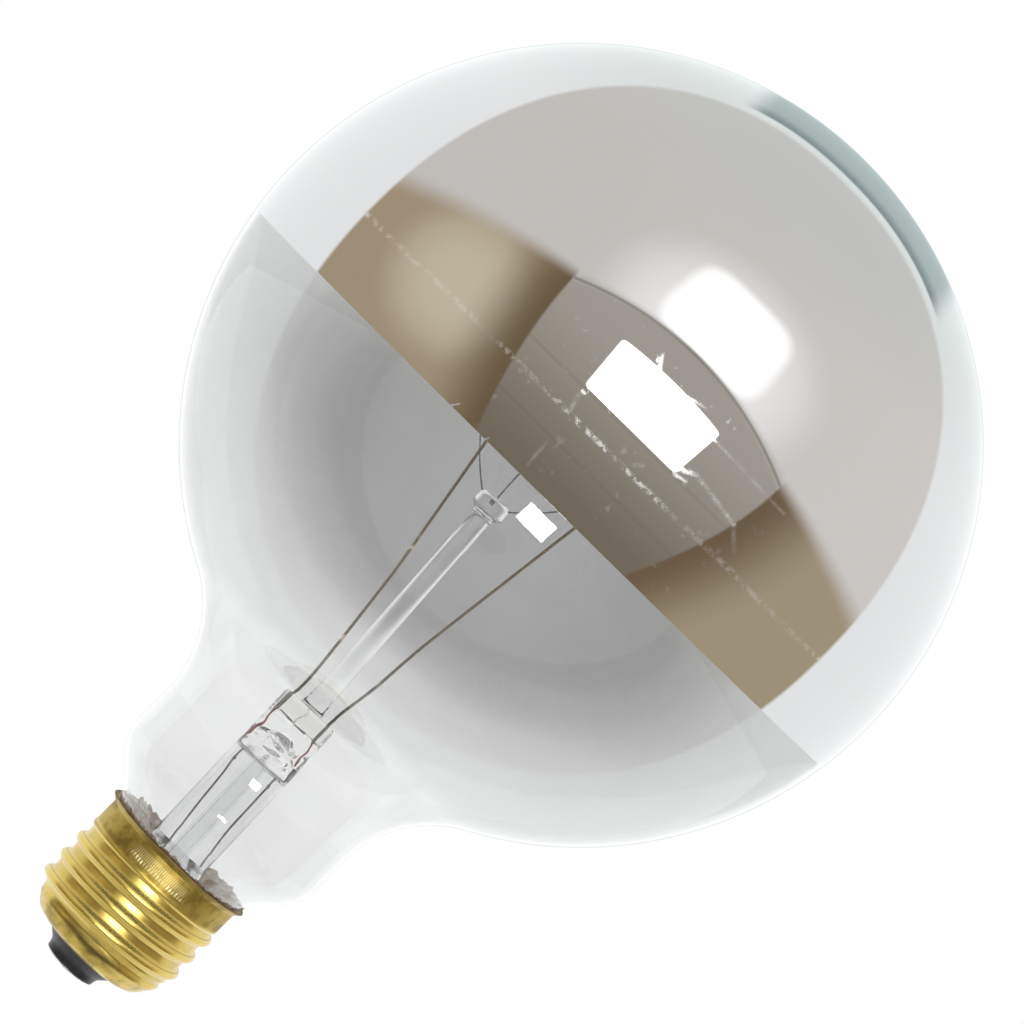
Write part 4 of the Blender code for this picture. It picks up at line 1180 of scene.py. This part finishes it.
def room(x, z):
    """The room as the coat shows it, in the x and z of the view."""
    left_side, right_side = panel_side(z, PANEL_LEFT), panel_side(z, PANEL_RIGHT)
    inside = fade(x - left_side, -0.0003, 0.0003) * fade(right_side - x, -0.0003, 0.0003)
    below = mixed(inside, walls(x, z, left_side, right_side), panel(z))
    wall_line = bowed(x, WALL_LINE)
    line = wall_line + (bowed(x, PANEL_LINE) - wall_line) * inside
    softness = 0.0004 + abs(x - PANEL_LINE[0]) * 0.045
    picture = mixed(fade((z - line) / softness, -1.0, 1.0), below, ceiling(x, z))
    seam = near(z - line, -0.0003, 0.0004, 0.0001) * inside
    picture = mixed(seam * 0.5, picture, mirror_tone(95, 90, 80))
    off = x - WINDOW_PLACE[0]
    bow = off ** 2.0 * WINDOW_BOW * fade(z, 0.1230, 0.1300)
    narrowing = off * (WINDOW_PLACE[1] - z) * WINDOW_NARROWING
    window = fade(oval(x + narrowing, z + bow, WINDOW_PLACE, WINDOW_SIZE, 24.0), 2.2, 0.5)
    picture = mixed(window, picture, WINDOW_LIGHT)
    picture = mixed(fade(z, 0.1034, 0.1020), picture, underside(z))
    outline = oval(x, z, SWEEP_PLACE, SWEEP_SIZE, 2.2)
    return mixed(fade(outline, 0.985, 1.015), picture, sweep(x, z, outline))


def ceiling(x, z):
    """Pale grey, brightest round the lamp on it."""
    paint = mixed(fade(x, -0.045, 0.045), mirror_tone(192, 188, 185), mirror_tone(201, 197, 194))
    paint = mixed(fade(z, 0.150, 0.170), paint, mirror_tone(190, 191, 188))
    glow = fade(oval(x, z, GLOW_PLACE, GLOW_SIZE, 2.0), 1.0, 0.0)
    paint = mixed(glow, paint, mirror_tone(232, 230, 229))
    across = (x - LAMP_PLACE[0]) * (1.0 + (z - LAMP_FULL_Z) * LAMP_NARROWING)
    lamp = fade(oval(across, z, (0.0, LAMP_PLACE[1]), LAMP_SIZE, 4.0), 2.8, 0.1)
    return mixed(lamp, paint, LAMP_LIGHT)


def walls(x, z, left_side, right_side):
    """Beige walls, darker beside the panel, with a pale patch on the left one."""
    patch = fade(oval(x, z, PATCH_PLACE, PATCH_SIZE, 2.0), 1.0, 0.0)
    left_wall = mixed(patch, mirror_tone(157, 142, 119), mirror_tone(188, 179, 156))
    left_wall = mixed(fade(left_side - x, 0.012, 0.0), left_wall, mirror_tone(104, 90, 66))
    right_wall = mixed(fade(x - right_side, 0.014, 0.0), mirror_tone(156, 144, 121), mirror_tone(106, 90, 69))
    return mixed(fade(x, -0.001, 0.001), left_wall, right_wall)


def panel(z):
    """The grey tiled panel round the window, in three courses."""
    tone = mixed(fade(z, 0.103, 0.134), mirror_tone(110, 102, 88), mirror_tone(158, 152, 144))
    course = near(z, PANEL_COURSES[0], 0.0004, 0.0001) + near(z, PANEL_COURSES[1], 0.0004, 0.0001)
    return mixed(course * 0.14, tone, mirror_tone(84, 78, 68))


def underside(z):
    """What lies below the coat's edge: a dark table front and pale paper under it."""
    return mixed(fade(z, 0.080, 0.094), PAPER_LIGHT, TABLE_LIGHT)


def sweep(x, z, outline):
    """The white sweep round the room, with a dark gap above it."""
    gap = fade(outline, 1.030, 1.045) * near(x, 0.0035, 0.0235, 0.0185) * fade(z, 0.150, 0.155)
    grey = mixed(fade(outline, 1.045, 1.10), mirror_tone(128, 141, 143), mirror_tone(160, 172, 172))
    tone = mixed(fade(z, 0.145, 0.168), mirror_tone(224, 225, 226), mirror_tone(212, 217, 216))
    return mixed(gap, tone, grey)


def bowed(x, line):
    """Height of a level line that the mirror bends down towards its ends."""
    middle, height, bend = line
    return height - (x - middle) ** 2.0 * bend


def panel_side(z, side):
    """Where an upright side of the panel shows in the mirror, which bends it the more the lower it is."""
    top_x, reach, top_z, height = side
    share = (top_z - z) / height
    return top_x + reach * larger(share, 0.0) ** 1.8


def as_seen(x, y, z):
    """Where the photograph's view shows a place, as x and z at the bulb's axis."""
    distance = -CAMERA_PLACE.y
    nearness = distance / (y + distance)
    return x * nearness, (z - CAMERA_PLACE.z) * nearness + CAMERA_PLACE.z


def flat_square(name, half, place, material):
    """A flat square for the studio."""
    shape = bmesh.new()
    bmesh.ops.create_grid(shape, x_segments=1, y_segments=1, size=half, matrix=place)
    mesh = bpy.data.meshes.new(name)
    shape.to_mesh(mesh)
    shape.free()
    mesh.materials.append(material)
    return put(name, mesh)


def make_shade():
    """A sheet close behind the globe that only glass shows: shaded in its middle, white round it."""
    material, shader, spot = new_finish("shade_paint")
    across, up = as_seen(*parts_of(spot))
    spread = oval(across, up, SHADE_PLACE, SHADE_SIZE, SHADE_POWER) ** (1 / SHADE_POWER)
    stops = [(share / SHADE_REACH, level) for share, level in SHADE_LEVELS]
    feed(shader, {
        "Base Color": (0.0, 0.0, 0.0), "Roughness": 1.0, "Specular IOR Level": 0.0,
        "Emission Color": spread.node("ShaderNodeValToRGB", {"stops": stops}, {0: spread / SHADE_REACH}),
        "Emission Strength": 1.0,
    })
    material.cycles.emission_sampling = "NONE"
    place = Matrix.Translation((0, SHEET_Y, SHADE_PLACE[1])) @ Matrix.Rotation(math.pi / 2, 4, "X")
    sheet = flat_square("shade_sheet", SHEET_HALF, place, material)
    sheet.visible_camera = False
    sheet.visible_diffuse = False
    sheet.visible_glossy = False
    sheet.visible_shadow = False


def make_world():
    """White to the eye, a little greyer to the sides through glass, plain light on matt surfaces, and
    the room in what shines."""
    world = bpy.data.worlds.new("studio")
    bpy.context.scene.world = world
    world.use_nodes = True
    world.cycles.sampling_method = "NONE"
    tree = world.node_tree
    ray = Signal(tree).node("ShaderNodeTexCoord", output="Generated")
    away = parts_of(ray)[1]
    backdrop = mixed(fade(away, 0.7, 0.2), WHITE, SIDE_LIGHT)
    seen = mixed(light_path(ray, "Is Transmission Ray"), WHITE, backdrop)
    picture = mixed(fade(away, 0.968, 0.990), room(*mirror_place(ray)), mirror_tone(184, 191, 192))
    picture = mixed(light_path(ray, "Transmission Depth") > 0.5, picture, INSIDE_LIGHT)
    seen = mixed(light_path(ray, "Glossy Depth") > 0.5, seen, picture)
    seen = mixed(light_path(ray, "Diffuse Depth") > 0.5, seen, MATT_LIGHT)
    tree.links.new(seen.socket, tree.nodes["Background"].inputs["Color"])


def make_floor():
    """A wide pale floor under the bulb, which is held in the air by its screw base."""
    material, shader, place = new_finish("floor_paint")
    lit = light_path(place, "Is Camera Ray") + light_path(place, "Is Transmission Ray")
    feed(shader, {
        "Base Color": FLOOR_TONE, "Roughness": 1.0, "Specular IOR Level": 0.0,
        "Emission Color": WHITE, "Emission Strength": lit * FLOOR_GLOW,
    })
    floor = flat_square("floor", FLOOR_HALF, Matrix.Translation((0, 0, FLOOR_Z)), material)
    floor.visible_glossy = False


def make_lamps(shell):
    """One large soft lamp above, unseen in what shines, and the small lamps that make the glints."""
    lamp = bpy.data.lights.new("soft_lamp", "AREA")
    lamp.shape = "DISK"
    lamp.size = SOFT_LAMP_SIZE
    lamp.energy = SOFT_LAMP_POWER
    holder = hang_lamp(lamp, SOFT_LAMP_PLACE, SOFT_LAMP_AIM)
    holder.visible_glossy = False
    hang_glint_lamp("glint_lamp", GLINT_SIZE, GLINT_RADIANCE)
    thread_lamp = hang_glint_lamp("thread_lamp", THREAD_LAMP_SIZE, THREAD_LAMP_RADIANCE)
    lit = bpy.data.collections.new("lit_by_thread_lamp")
    lit.objects.link(shell)
    thread_lamp.light_linking.receiver_collection = lit


def hang_glint_lamp(name, size, radiance):
    """A small lamp, low in front, that only shining surfaces show."""
    lamp = bpy.data.lights.new(name, "AREA")
    lamp.shape = "RECTANGLE"
    lamp.size, lamp.size_y = size
    lamp.energy = radiance * math.pi * size[0] * size[1]
    holder = hang_lamp(lamp, GLINT_PLACE, GLINT_AIM)
    holder.visible_camera = False
    holder.visible_diffuse = False
    return holder


def hang_lamp(lamp, place, aim):
    """Put a lamp in its place, facing what it lights."""
    holder = put(lamp.name, lamp)
    holder.location = place
    holder.rotation_euler = (aim - place).to_track_quat("-Z", "Y").to_euler()
    holder.visible_transmission = False
    return holder


def make_camera():
    """The photograph's view: level, square to the axis, rolled so that the bulb lies aslant."""
    camera = bpy.data.cameras.new("camera")
    camera.sensor_width = SENSOR
    forward = CAMERA_AIM - CAMERA_PLACE
    camera.lens = SENSOR * forward.length / FRAME_WIDTH
    camera.clip_end = 50.0
    forward.normalize()
    right = Vector((math.sin(CAMERA_ROLL), 0, math.cos(CAMERA_ROLL)))
    right = (right - forward * right.dot(forward)).normalized()
    up = right.cross(forward)
    turn = Matrix((right, up, -forward)).transposed()
    holder = put("camera", camera)
    holder.matrix_world = Matrix.Translation(CAMERA_PLACE) @ turn.to_4x4()
    bpy.context.scene.camera = holder


def main():
    scene = bpy.context.scene
    scene.view_settings.view_transform = "Standard"
    scene.cycles.max_bounces = GLASS_BOUNCES
    scene.cycles.transmission_bounces = GLASS_BOUNCES
    scene.cycles.glossy_bounces = MIRROR_BOUNCES
    glass = glass_finish()
    stem_glass = stem_glass_finish()
    metals = {name: metal_finish(name, *look) for name, look in METALS.items()}
    make_envelope(glass)
    make_crown(chrome_finish())
    shell = make_shell(brass_finish())
    make_insulator(black_glass_finish())
    make_contact(metals["tin_plate"], metals["solder"])
    make_cement(cement_finish())
    make_stem(stem_glass)
    make_exhaust_tube(stem_glass)
    make_rod(stem_glass)
    make_leads(lead_finish(), metals["copper_clad_wire"], metals["dark_wire"])
    make_supports(metals["tungsten"])
    make_filament(metals["tungsten"])
    make_world()
    make_floor()
    make_shade()
    make_lamps(shell)
    make_camera()


main()
